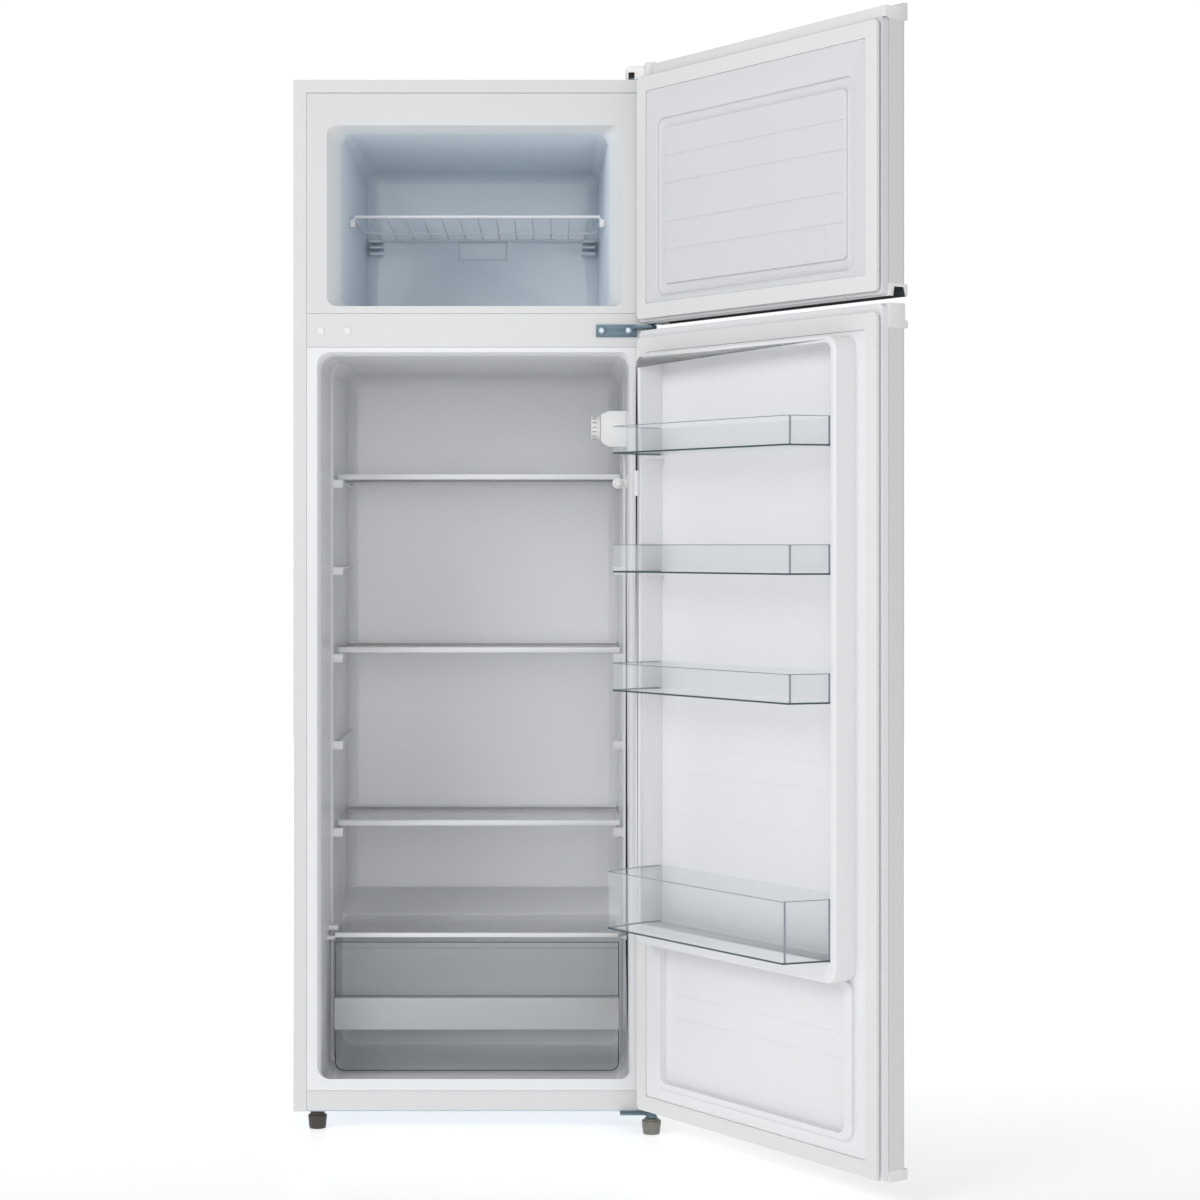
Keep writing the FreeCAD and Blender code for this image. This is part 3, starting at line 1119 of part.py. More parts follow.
def make_rack():
    """The freezer's wire shelf: a thick front wire, a bent frame wire and thirteen cross wires."""
    level = up("rack_up")
    bent = "rack_half - rack_corner"
    under = up("rack_under")
    pieces = [
        rod("RackFront", ("-rack_half", deep("rack_front"), f"{level} - rack_wire"),
            "2 * rack_half", "rack_thick", "X"),
        rod("RackBack", ("-rack_half + 12", deep("rack_back"), under), "2 * rack_half - 24",
            "rack_wire * 1.2", "X"),
        rod("RackFrame", (f"-({bent})", deep("rack_frame_back"), under), f"2 * ({bent})",
            "rack_thick * 0.8", "X"),
    ]
    for name, sign in (("Left", -1), ("Right", 1)):
        pieces.append(rod(f"RackSide{name}", (f"{sign} * rack_half", deep("rack_front"), under),
                          "rack_frame_back - rack_front - rack_corner", "rack_thick * 0.8", "Y"))
        elbow = doc.addObject("Part::Torus", f"RackElbow{name}")
        bind(elbow, "Radius1", "rack_corner")
        bind(elbow, "Radius2", "rack_thick * 0.8")
        elbow.Angle3 = 90
        turn = 90 if sign < 0 else 0
        elbow.Placement = FreeCAD.Placement(Vector(), FreeCAD.Rotation(Vector(0, 0, 1), turn))
        bind(elbow, "Placement.Base.x", f"{sign} * ({bent})")
        bind(elbow, "Placement.Base.y", deep("rack_frame_back - rack_corner"))
        bind(elbow, "Placement.Base.z", under)
        pieces.append(elbow)
    count = int(SIZES["rack_wires"])
    for number in range(count):
        pieces.append(rod(f"RackWire{number}",
                          (f"({number} - ({count} - 1) / 2) * rack_pitch",
                           deep("rack_front"), f"{level} - rack_wire"),
                          "rack_back - rack_front", "rack_wire", "Y"))
    node("freezer_shelf", fuse("FreezerShelf", *pieces))
    clips = []
    for name, sign in (("Left", -1), ("Right", 1)):
        clip = block(f"RackClip{name}",
                     (f"{sign} * (freezer_half - 6.6) - clip_wide / 2",
                      f"{sign} * (freezer_half - 6.6) + clip_wide / 2"),
                     (deep("rack_front - clip_deep / 2"), deep("rack_front + clip_deep / 2")),
                     (up("rack_up - clip_high"), up("rack_up - rack_wire - rack_thick * 1.8 - 0.4")))
        clips.append(clip)
    node("freezer_shelf_clips", group("FreezerShelfClips", *clips))


# ---------------------------------------------------------------- thermostat, lamp, switch

def make_controls():
    wall = "fridge_half - 0.2"
    split = "housing_back - 50"
    narrow = "inner_half - 0.2"

    def profile(inset, end):
        left = f"housing_left + {inset}"
        return [
            (left, up("dial_up - dial_radius")), (f"{left} + housing_flare * 0.3",
                                                  up(f"housing_low + 5 + {inset}")),
            (f"{left} + housing_flare", up(f"housing_low + {inset}")),
            (end, up(f"housing_low + {inset}")), (end, up(f"housing_top - {inset}")),
            (f"{left} + housing_flare", up(f"housing_top - {inset}")),
            (left, up("dial_up + dial_radius")),
        ]

    def case(name, near, far, thick):
        """A hollow case on the right wall, open to the wall, widening from the dial."""
        made = body(name)
        end = wall if near == "housing_front" else narrow
        pad(made, "XZ", deep(near), deep(far), (outline, profile("0", end)))
        pocket(made, "XZ", deep(f"{near} + {thick}"), deep(f"{far} - {thick}"),
               (outline, profile(thick, f"{end} + 1")))
        return made
    housing = case("ThermostatHousing", "housing_front", split, "housing_wall")
    shaft_hole = rod("DialHole", ("housing_left - 5", deep("dial_at"), up("dial_up")), "16",
                     "dial_shaft + running_play", "X")
    regulator = block("Regulator", ("housing_left + housing_wall / 2", "fridge_half - 3"),
                      (deep("dial_at - 14"), deep("dial_at + 14")),
                      (up("dial_up - 15"), up("dial_up + 15")))
    node("thermostat_housing",
         cut("ThermostatCase", fuse("ThermostatMass", housing, regulator), shaft_hole))
    node("lamp_cover", case("LampCover", f"{split} + 0.4", "housing_back", "1.5"))
    dial = fuse("Dial",
                rod("DialDisc", ("housing_left - 0.5 - dial_thick", deep("dial_at"),
                                 up("dial_up")), "dial_thick", "dial_radius", "X"),
                rod("DialShaft", ("housing_left - 1", deep("dial_at"), up("dial_up")), "10",
                    "dial_shaft", "X"))
    groove = block("DialGroove", ("housing_left - 1 - dial_thick", "housing_left + 0.7 - dial_thick"),
                   (deep("dial_at - 1.2"), deep("dial_at + 1.2")),
                   (up("dial_up + 2"), up("dial_up + dial_radius + 1")))
    node("thermostat_dial", cut("ThermostatDial", dial, groove))
    def turned(name, start, length, radius, far_radius=None):
        place = (f"inner_half - {start}", deep("lamp_at"), up("dial_up"))
        if far_radius is None:
            return rod(name, place, length, radius, "X")
        return cone(name, place, length, radius, far_radius, "X")
    node("lamp", fuse(
        "Lamp",
        turned("LampNose", "29", "4", "lamp_radius * 0.55", "lamp_radius * 0.9"),
        turned("LampBulb", "25", "9", "lamp_radius * 0.9"),
        turned("LampNeck", "16", "4", "lamp_radius * 0.9", "lamp_radius * 0.7"),
        turned("LampSocket", "12", "11", "lamp_radius * 0.7"),
    ))

    across, height = "switch_across", up("switch_up")
    barrel = rod("SwitchBarrel", (across, deep("switch_front"), height), "switch_long",
                 "switch_radius", "Y")
    rest = block("SwitchBlock", (across, "fridge_half - 0.2"),
                 (deep("switch_front + 4"), deep("switch_front + switch_long")),
                 (f"{height} - switch_radius + 2", f"{height} + switch_radius - 2"))
    bore = rod("SwitchBore", (across, deep("switch_front - 1"), height), "switch_long - 1",
               "button_radius + running_play", "Y")
    node("light_switch", cut("LightSwitch", fuse("SwitchMass", barrel, rest), bore))
    button = rod("SwitchButton", (across, deep("switch_front - button_out"), height),
                 "button_out + switch_long - button_travel - 4", "button_radius", "Y")
    node("light_switch_button", button)


# ---------------------------------------------------------------- machine

def serpentine(name, half, place, low, pitch, pairs, radius):
    """A tube that runs to and fro across the back, with half-round turns at alternate ends."""
    pieces = []
    for row in range(2 * pairs):
        height = f"{low} + {row} * {pitch}"
        pieces.append(rod(f"{name}Run{row}", (f"-({half})", place, height), f"2 * ({half})",
                          radius, "X"))
        if row == 2 * pairs - 1:
            break
        turn = doc.addObject("Part::Torus", f"{name}Turn{row}")
        bind(turn, "Radius1", f"{pitch} / 2")
        bind(turn, "Radius2", radius)
        turn.Angle3 = 180
        face = FreeCAD.Rotation(Vector(1, 0, 0), 90)
        spinning = FreeCAD.Rotation(Vector(0, 1, 0), 90 if row % 2 == 0 else -90)
        turn.Placement = FreeCAD.Placement(Vector(), spinning.multiply(face))
        bind(turn, "Placement.Base.x", half if row % 2 == 0 else f"-({half})")
        bind(turn, "Placement.Base.y", place)
        bind(turn, "Placement.Base.z", f"{height} + {pitch} / 2")
        pieces.append(turn)
    return fuse(name, *pieces)


def make_machine():
    dome = body("Compressor")
    spin(dome, ("pump_across", "pump_y", "pump_base"), [
        ("0", "0"), ("pump_radius - pump_round", "0"), ("pump_radius", "pump_round"),
        ("pump_radius", "pump_high - pump_round"),
        ("pump_radius - pump_round * 0.3", "pump_high - pump_round * 0.3"),
        ("pump_radius - pump_round", "pump_high"), ("0", "pump_high"),
    ])
    plate = block("CompressorPlate", ("pump_across - pump_foot_half", "pump_across + pump_foot_half"),
                  ("pump_y - pump_foot_deep - 12", "pump_y + pump_foot_deep + 12"),
                  ("pump_base - 1", "pump_base - 1 + pump_plate"))
    corners = [(f"pump_across + {sx} * (pump_foot_half - 12)", f"pump_y + {sy} * pump_foot_deep")
               for sx in (-1, 1) for sy in (-1, 1)]
    holes = [rod(f"GrommetHole{i}", (x, y, "pump_base - 5"), "12", "grommet_radius - 3")
             for i, (x, y) in enumerate(corners)]
    node("compressor", fuse("CompressorWhole", dome, cut("CompressorFoot", plate, *holes)))
    grommets = [
        fuse(f"Grommet{i}",
             rod(f"GrommetBase{i}", (x, y, "base + base_steel + 0.1"), "pump_up - 1.2",
                 "grommet_radius"),
             rod(f"GrommetNeck{i}", (x, y, "pump_base - 2"), "pump_plate + 4",
                 "grommet_radius - 3.1"))
        for i, (x, y) in enumerate(corners)
    ]
    node("compressor_grommets", group("CompressorGrommets", *grommets))
    node("relay_box", block("RelayBox",
                            ("pump_across - pump_radius - 34", "pump_across - pump_radius - 0.3"),
                            ("pump_y - 22", "pump_y + 22"),
                            ("pump_base + 40", "pump_base + 92")))
    dryer = fuse("FilterDryer",
                 rod("DryerBody", ("-120", "pump_y", "base + 60"), "70", "9"),
                 cone("DryerTop", ("-120", "pump_y", "base + 130"), "12", "9", "3"),
                 cone("DryerFoot", ("-120", "pump_y", "base + 48"), "12", "3", "9"))
    node("filter_dryer", dryer)
    lines = fuse("DischargeLine",
                 rod("DischargeUp", ("-120", "pump_y", "base + 142"), "30", "tube_radius"),
                 rod("DischargeBack", ("-120", "pump_y", "base + 172"),
                     "pump_from_back + condenser_out", "tube_radius", "Y"),
                 rod("DischargeRise", ("-120", "condenser_y", "base + 172"),
                     "condenser_low - 172 - condenser_pitch / 2 + 28 - 2 * tube_radius - 0.3",
                     "tube_radius"))
    suction = fuse("SuctionLine",
                   rod("SuctionOut", ("pump_across + pump_radius + 0.3", "pump_y",
                                      "pump_base + 60"), "30", "tube_radius * 1.4", "X"),
                   rod("SuctionRise", ("pump_across + pump_radius + 30.3", "pump_y",
                                       "pump_base + 60"), "90", "tube_radius * 1.4"),
                   rod("SuctionBack", ("pump_across + pump_radius + 30.3", "pump_y",
                                       "pump_base + 150"), "pump_from_back + condenser_out",
                       "tube_radius * 1.4", "Y"))
    node("refrigerant_lines", group("RefrigerantLines", lines, suction))
    tray = body("DripPan")
    pad(tray, "XY", "pump_top + 2", "pump_top + 2 + pan_high",
        (rounded, "pump_across - 80", "pump_y - 54", "pump_across + 70", "pump_y + 54", "12"))
    pocket(tray, "XY", "pump_top + 2 + pan_wall", "pump_top + 3 + pan_high",
           (rounded, "pump_across - 80 + pan_wall", "pump_y - 54 + pan_wall",
            "pump_across + 70 - pan_wall", "pump_y + 54 - pan_wall", "12 - pan_wall"))
    node("drip_pan", tray)
    coil = serpentine("CondenserTube", "condenser_half", "condenser_y",
                      "base + condenser_low", "condenser_pitch",
                      int(SIZES["condenser_pairs"]), "tube_radius")
    wires = []
    count = int(SIZES["condenser_wires"])
    tall = "(2 * condenser_pairs - 1) * condenser_pitch + 24"
    for number in range(count):
        across = f"({number} - ({count} - 1) / 2) * condenser_wire_pitch"
        for name, sign in (("Near", -1), ("Far", 1)):
            wires.append(rod(f"Wire{name}{number}",
                             (across, f"condenser_y + {sign} * (tube_radius + condenser_wire * 0.7)",
                              "base + condenser_low - 12"), tall, "condenser_wire"))
    stays = [
        block(f"CondenserStay{i}", (f"{sx} * condenser_half * 0.8 - 8", f"{sx} * condenser_half * 0.8 + 8"),
              ("back - sheet_steel - seam + 0.1", "condenser_y + tube_radius"),
              (f"base + condenser_low + {row} * condenser_pitch - 7",
               f"base + condenser_low + {row} * condenser_pitch + 7"))
        for i, (sx, row) in enumerate(((-1, 1), (1, 1), (-1, 18), (1, 18)))
    ]
    node("condenser", fuse("Condenser", coil, *wires, *stays))
    freezing = serpentine("FreezerCoil", "coil_half", deep("freezer_deep + recess_deep + liner_wall + 8"),
                          up("freezer_floor + 40"), "coil_pitch", int(SIZES["coil_pairs"]),
                          "tube_radius * 1.4")
    chilling = serpentine("FridgeCoil", "coil_half", deep("fridge_deep + liner_wall + 8"),
                          up("chill_low"), "coil_pitch", int(SIZES["coil_pairs"]),
                          "tube_radius * 1.4")
    node("evaporator_coils", group("EvaporatorCoils", freezing, chilling))


# ---------------------------------------------------------------- build, check, write

make_shell()
make_front_bars()
make_back()
make_base()
make_freezer_liner()
make_fridge_liner()
make_freezer_door()
make_fridge_door()
make_bins()
make_hinges()
make_feet()
make_rollers()
make_shelves()
make_crisper()
make_rack()
make_controls()
make_machine()
doc.recompute()

broken = [thing.Label for thing in doc.Objects
          if "Invalid" in thing.State or "Error" in thing.State]
if broken:
    raise RuntimeError("these objects failed: " + ", ".join(broken))
for thing in NODES:
    if thing.Shape.isNull() or not thing.Shape.isValid() or not thing.Shape.Solids:
        raise RuntimeError(f"{thing.Label} has no sound solid")
for thing in NODES:
    thing.Shape.exportStep(f"parts/{thing.Label}.step")
print(len(NODES), "nodes written")
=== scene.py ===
"""Looks for the top freezer refrigerator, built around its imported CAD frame. Metres."""
import json
import math

import bmesh
import bpy
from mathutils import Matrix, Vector


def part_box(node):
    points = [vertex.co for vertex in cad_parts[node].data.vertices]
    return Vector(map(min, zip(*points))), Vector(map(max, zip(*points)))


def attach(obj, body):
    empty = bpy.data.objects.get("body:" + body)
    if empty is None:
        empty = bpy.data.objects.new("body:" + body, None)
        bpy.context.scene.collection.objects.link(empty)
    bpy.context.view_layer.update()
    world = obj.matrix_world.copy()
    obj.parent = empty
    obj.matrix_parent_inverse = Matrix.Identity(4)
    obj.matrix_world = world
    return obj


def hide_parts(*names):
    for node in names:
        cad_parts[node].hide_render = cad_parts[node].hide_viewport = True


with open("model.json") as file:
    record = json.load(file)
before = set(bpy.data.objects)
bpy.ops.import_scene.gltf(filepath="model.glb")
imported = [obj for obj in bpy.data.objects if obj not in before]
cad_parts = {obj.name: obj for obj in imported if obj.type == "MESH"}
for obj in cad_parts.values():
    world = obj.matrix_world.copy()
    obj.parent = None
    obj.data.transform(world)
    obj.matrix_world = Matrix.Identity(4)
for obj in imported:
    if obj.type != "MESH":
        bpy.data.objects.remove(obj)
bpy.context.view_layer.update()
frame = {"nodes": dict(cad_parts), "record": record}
NODES = frame["nodes"]
BODY_OF = {node: name for name, members in frame["record"]["behaviour"]["bodies"].items()
           for node in members}
SLOT_OF = {part["node"]: part["material_slot"] for part in frame["record"]["subparts"]}
MM = 0.001
FRONT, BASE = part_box("cabinet_shell")[0][1:]

# ---------------------------------------------------------------- materials


def shader(name, colour, roughness, **sockets):
    """A Principled material; extra sockets are given by name, with _ for a space."""
    made = bpy.data.materials.new(name)
    made.use_nodes = True
    principled = made.node_tree.nodes["Principled BSDF"]
    principled.inputs["Base Color"].default_value = (*colour, 1)
    principled.inputs["Roughness"].default_value = roughness
    for socket, number in sockets.items():
        principled.inputs[socket.replace("_", " ")].default_value = number
    return made


def grain(made, scale, strength, distance=0.0002, detail=2.0):
    """Surface texture: a fine noise that tilts the surface."""
    tree = made.node_tree
    place = tree.nodes.new("ShaderNodeTexCoord")
    noise = tree.nodes.new("ShaderNodeTexNoise")
    noise.inputs["Scale"].default_value = scale
    noise.inputs["Detail"].default_value = detail
    bump = tree.nodes.new("ShaderNodeBump")
    bump.inputs["Strength"].default_value = strength
    bump.inputs["Distance"].default_value = distance
    tree.links.new(place.outputs["Object"], noise.inputs["Vector"])
    tree.links.new(noise.outputs["Fac"], bump.inputs["Height"])
    tree.links.new(bump.outputs["Normal"], tree.nodes["Principled BSDF"].inputs["Normal"])
    return made


def mottle(made, scale, low, high):
    """Roughness that wanders a little between two values."""
    tree = made.node_tree
    place = tree.nodes.new("ShaderNodeTexCoord")
    noise = tree.nodes.new("ShaderNodeTexNoise")
    noise.inputs["Scale"].default_value = scale
    spread = tree.nodes.new("ShaderNodeMapRange")
    spread.inputs["To Min"].default_value = low
    spread.inputs["To Max"].default_value = high
    tree.links.new(place.outputs["Object"], noise.inputs["Vector"])
    tree.links.new(noise.outputs["Fac"], spread.inputs["Value"])
    tree.links.new(spread.outputs["Result"], tree.nodes["Principled BSDF"].inputs["Roughness"])
    return made


def painted_shade_by_depth(made, near, far, near_colour, far_colour):
    """Painted shade: colour that changes along the object's own Y axis, between two places."""
    tree = made.node_tree
    place = tree.nodes.new("ShaderNodeTexCoord")
    axes = tree.nodes.new("ShaderNodeSeparateXYZ")
    spread = tree.nodes.new("ShaderNodeMapRange")
    spread.inputs["From Min"].default_value = near
    spread.inputs["From Max"].default_value = far
    mix = tree.nodes.new("ShaderNodeMix")
    mix.data_type = "RGBA"
    first, second = [socket for socket in mix.inputs if socket.type == "RGBA"]
    first.default_value = (*near_colour, 1)
    second.default_value = (*far_colour, 1)
    mixed = next(socket for socket in mix.outputs if socket.type == "RGBA")
    tree.links.new(place.outputs["Object"], axes.inputs["Vector"])
    tree.links.new(axes.outputs["Y"], spread.inputs["Value"])
    tree.links.new(spread.outputs["Result"], mix.inputs[0])
    tree.links.new(mixed, tree.nodes["Principled BSDF"].inputs["Base Color"])
    return made


WHITE = (0.70, 0.70, 0.70)
LOOKS = {
    "white_steel": grain(shader("PaintedSteel", WHITE, 0.28), 900, 0.08),
    "pebbled_steel": grain(shader("PebbledSteel", WHITE, 0.32), 420, 0.55, 0.0006),
    "zinc_steel": mottle(grain(shader("ZincSteel", (0.50, 0.57, 0.63), 0.35, Metallic=1.0),
                               600, 0.1), 220, 0.26, 0.42),
    "hinge_steel": mottle(grain(shader("HingeSteel", (0.14, 0.21, 0.25), 0.4, Metallic=0.5),
                                600, 0.15), 220, 0.35, 0.5),
    "white_liner": grain(shader("LinerPlastic", (0.79, 0.80, 0.82), 0.22), 300, 0.05),
    "door_liner": grain(shader("DoorLiner", (0.80, 0.805, 0.82), 0.25), 300, 0.05),
    "freezer_door": grain(shader("FreezerDoorLiner", (0.70, 0.705, 0.725), 0.25), 300, 0.05),
    # The freezer liner is grey at its front flange and turns blue-grey further in: painted cool
    # shade of the deep interior.
    "freezer_liner": painted_shade_by_depth(grain(shader("FreezerLiner", (0.66, 0.72, 0.77), 0.22),
                                          300, 0.05), FRONT + 0.004, FRONT + 0.03,
                                    (0.68, 0.685, 0.69), (0.72, 0.79, 0.85)),
    "white_trim": grain(shader("WhiteTrim", (0.80, 0.80, 0.80), 0.3), 700, 0.06),
    "gasket": grain(shader("SoftGasket", (0.76, 0.76, 0.75), 0.5), 500, 0.15),
    "clear_plastic": mottle(shader("ClearPlastic", (0.86, 0.90, 0.93), 0.05, Alpha=0.11),
                            60, 0.03, 0.08),
    "frosted_plastic": mottle(shader("FrostedPlastic", (0.93, 0.95, 0.95), 0.45, IOR=1.49,
                                     Transmission_Weight=1.0), 900, 0.4, 0.55),
    "shelf_glass": mottle(shader("ShelfGlass", (0.96, 0.985, 0.98), 0.01, IOR=1.35, Alpha=0.35,
                                 Transmission_Weight=1.0), 40, 0.0, 0.03),
    "white_wire": grain(shader("CoatedWire", (0.78, 0.79, 0.81), 0.3), 900, 0.05),
    "black_steel": grain(shader("BlackSteel", (0.025, 0.025, 0.028), 0.4), 500, 0.15),
    "black_plastic": grain(shader("BlackPlastic", (0.03, 0.03, 0.032), 0.5), 800, 0.15),
    "foot_plastic": grain(shader("FootPlastic", (0.05, 0.042, 0.035), 0.5), 700, 0.12),
    "foot_metal": mottle(grain(shader("FootMetal", (0.20, 0.19, 0.17), 0.4, Metallic=0.4),
                               600, 0.1), 220, 0.35, 0.5),
    "frosted_band": mottle(shader("FrostedBand", (0.80, 0.82, 0.83), 0.5, Alpha=0.4), 900, 0.4,
                           0.55),
    # Dark and bluish edge colours: painted refraction lines where the clear plastic's edges bend
    # the light.
    "dark_refraction_edge": mottle(shader("DarkRefractionEdge", (0.05, 0.085, 0.10), 0.15), 60, 0.1, 0.2),
    "tinted_refraction_edge": mottle(shader("TintedRefractionEdge", (0.24, 0.30, 0.34), 0.15), 60, 0.1, 0.2),
    "dark_rubber": grain(shader("DarkRubber", (0.02, 0.02, 0.02), 0.7), 600, 0.2),
    "copper": mottle(shader("Copper", (0.80, 0.42, 0.26), 0.3, Metallic=1.0), 150, 0.22, 0.4),
    "alloy_tube": mottle(shader("AlloyTube", (0.75, 0.76, 0.77), 0.35, Metallic=1.0), 150, 0.3,
                         0.45),
    "lamp_glass": mottle(shader("LampGlass", (0.95, 0.93, 0.85), 0.35,
                                Transmission_Weight=0.6), 90, 0.3, 0.4),
    # Dark slate is printed marks on the dial, and painted shade under the freezer door and in
    # the door liner's hole.
    "slate": grain(shader("SlatePrintAndPaintedShade", (0.02, 0.026, 0.035), 0.45), 700, 0.1),
}


def paint(thing, look):
    thing.data.materials.clear()
    thing.data.materials.append(LOOKS[look])


for node, slot in SLOT_OF.items():
    paint(NODES[node], slot)
for node in ("cabinet_shell", "freezer_door_panel", "fridge_door_panel"):
    paint(NODES[node], "pebbled_steel")


# ---------------------------------------------------------------- door coordinates

HINGE = next(joint for joint in frame["record"]["behaviour"]["joints"]
             if joint["name"] == "fridge_door_hinge")
PIN = Vector((*HINGE["pos_m"][:2], 0))
OPENING = math.radians(-HINGE["range_deg"][0])


def turned(point, angle):
    """A point turned about the hinge axis."""
    x, y = point[0] - PIN.x, point[1] - PIN.y
    return Vector((PIN.x + x * math.cos(angle) - y * math.sin(angle),
                   PIN.y + x * math.sin(angle) + y * math.cos(angle), point[2]))


def closed(point):
    """Where a point of an open door lies when the door is closed."""
    return turned(point, -OPENING)


def make_piece(name, corners, faces, look, body, on_door=False):
    """A piece of its own mesh; door pieces are given as if the door were closed."""
    mesh = bpy.data.meshes.new(name)
    mesh.from_pydata([turned(c, OPENING) if on_door else c for c in corners], [], faces)
    work = bmesh.new()
    work.from_mesh(mesh)
    bmesh.ops.recalc_face_normals(work, faces=work.faces)
    work.to_mesh(mesh)
    work.free()
    piece = bpy.data.objects.new(name, mesh)
    bpy.context.scene.collection.objects.link(piece)
    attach(piece, body)
    paint(piece, look)
    return piece


BOX_FACES = [(0, 1, 3, 2), (4, 6, 7, 5), (0, 4, 5, 1), (2, 3, 7, 6), (0, 2, 6, 4), (1, 5, 7, 3)]


def bar(name, x, y, z, look, body, on_door=False):
    corners = [(a, b, c) for a in x for b in y for c in z]
    return make_piece(name, corners, BOX_FACES, look, body, on_door)


def ribbon(name, sections, look, body, on_door=False):
    """A closed ribbon through cross-sections of four corners each."""
    corners, faces = [corner for section in sections for corner in section], []
    for i in range(len(sections) - 1):
        n, m = 4 * i, 4 * i + 4
        faces += [(n, m, m + 1, n + 1), (n + 2, n + 3, m + 3, m + 2),
                  (n + 1, m + 1, m + 3, n + 3), (n, n + 2, m + 2, m)]
    last = len(corners) - 4
    faces += [(0, 1, 3, 2), (last, last + 2, last + 3, last + 1)]
    return make_piece(name, corners, faces, look, body, on_door)


def strip(name, inner, outer, z, look, body, on_door=False):
    """A ribbon between two matching paths in plan, from one height to another."""
    sections = [[(*a, z[0]), (*a, z[1]), (*b, z[0]), (*b, z[1])] for a, b in zip(inner, outer)]
    return ribbon(name, sections, look, body, on_door)


def hoop(name, inner, outer, y, look, body):
    """A ribbon between two matching paths seen from the front, from one depth to another."""
    sections = [[(a[0], y[0], a[1]), (a[0], y[1], a[1]), (b[0], y[0], b[1]), (b[0], y[1], b[1])]
                for a, b in zip(inner, outer)]
    return ribbon(name, sections, look, body)


# ---------------------------------------------------------------- softened CAD pieces

def soften(node, radius, look=None, segments=2, angle=30, pick=None):
    """Stands for a CAD node: the same shape with its sharp edges rounded.

    With pick, only the edges whose middle it accepts are rounded.
    """
    mesh = NODES[node].data.copy()
    work = bmesh.new()
    work.from_mesh(mesh)
    bmesh.ops.remove_doubles(work, verts=work.verts, dist=1e-6)
    bmesh.ops.dissolve_limit(work, angle_limit=math.radians(0.5), verts=work.verts,
                             edges=work.edges)
    for face in work.faces:
        face.smooth = True
    if pick:
        weights = work.edges.layers.float.new("bevel_weight_edge")
        for edge in work.edges:
            sharp = len(edge.link_faces) == 2 and edge.calc_face_angle(0) > math.radians(angle)
            if sharp and pick((edge.verts[0].co + edge.verts[1].co) / 2):
                edge[weights] = 1.0
            elif sharp:
                edge.smooth = False
    work.to_mesh(mesh)
    work.free()
    piece = bpy.data.objects.new(node + "_soft", mesh)
    bpy.context.scene.collection.objects.link(piece)
    bevel = piece.modifiers.new("Rounded", "BEVEL")
    bevel.width = radius
    bevel.segments = segments
    bevel.limit_method = "WEIGHT" if pick else "ANGLE"
    bevel.angle_limit = math.radians(angle)
    bevel.use_clamp_overlap = not pick
    bevel.harden_normals = True
    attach(piece, BODY_OF[node])
    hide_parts(node)
    paint(piece, look or SLOT_OF[node])
    return piece


SOFTENED = {
    "crossbar_plugs": 0.4, "freezer_door_top_cap": 1.2, "fridge_door_top_cap": 1.2,
    "fridge_door_bottom_cap": 1.2, "top_hinge_cover": 1.2, "hinge_screws": 0.4,
    "upper_shelf_trims": 0.8, "middle_shelf_trims": 0.8, "lower_shelf_trims": 0.8,
    "crisper_cover_trim": 0.6, "freezer_shelf_clips": 0.6, "thermostat_housing": 1.2,
    "thermostat_dial": 0.8, "light_switch": 0.6, "light_switch_button": 0.6, "relay_box": 1.0,
}
for node, millimetres in SOFTENED.items():
    soften(node, millimetres * MM)
for node in ("middle_hinge", "bottom_hinge", "top_hinge"):
    soften(node, 0.5 * MM, "hinge_steel")
soften("left_front_foot", 0.4 * MM, "foot_plastic")
soften("right_front_foot", 0.4 * MM, "foot_metal")
soften("freezer_liner", 1.0 * MM, "freezer_liner", pick=lambda p: p.y > FRONT + 0.004)
soften("fridge_liner", 1.5 * MM, pick=lambda p: p.y > FRONT + 0.05)

CREST = FRONT + 34.5 * MM
SWITCH_LOW, SWITCH_HIGH = (corner[2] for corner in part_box("light_switch_button"))
SWITCH_PAD = 20 * MM
GROOVE_BED = FRONT - 7.6 * MM
GROOVE_INNER, GROOVE_OUTER = 203.5 * MM, 221.5 * MM


def on_crest(point):
    """The raised edges of the door's inside, leaving out the pad that works the switch."""
    by_switch = SWITCH_LOW - SWITCH_PAD < point.z < SWITCH_HIGH + SWITCH_PAD
    return closed(point).y > CREST and not by_switch


def on_frame(point):
    """The groove that frames the freezer door's panel, leaving out the ribs within it."""
    place = closed(point)
    return place.y > GROOVE_BED and GROOVE_INNER < abs(place.x) < GROOVE_OUTER


soften("fridge_door_liner", 4 * MM, "door_liner", segments=4, pick=on_crest)
soften("freezer_door_liner", 1.6 * MM, "freezer_door", segments=3, pick=on_frame)

# The freezer door's underside and the sloping wall inside its finger grip get painted shade:
# their downward-facing faces take the dark slate colour.
UNDERSIDE_TILT, GRIP_WALL_TILT = -0.3, -0.15
cap = soften("freezer_door_bottom_cap", 0.8 * MM)
cap.data.materials.append(LOOKS["slate"])
for polygon in cap.data.polygons:
    inward = polygon.normal.x < 0
    if polygon.normal.z < (GRIP_WALL_TILT if inward else UNDERSIDE_TILT):
        polygon.material_index = 1


# ---------------------------------------------------------------- painted refraction lines along the edges of bins and drawer

BIN_HALF, BIN_BEND = 213.4 * MM, 198 * MM
BIN_REAR, BIN_SIDE = FRONT - 4 * MM, FRONT + 35 * MM
BINS = (("top_door_bin", "bin_top", 0.093), ("middle_door_bin", "bin_middle", 0.093),
        ("lower_door_bin", "bin_lower", 0.093), ("bottle_bin", "bin_bottle", 0.102))


def bin_path(front, grow):
    """The plan of a door bin's free sides, as if the door were closed."""
    half, bend, reach = BIN_HALF + grow, BIN_BEND + grow, FRONT + front + grow
    return [(-half, BIN_REAR), (-half, BIN_SIDE), (-bend, reach), (bend, reach),
            (half, BIN_SIDE), (half, BIN_REAR)]
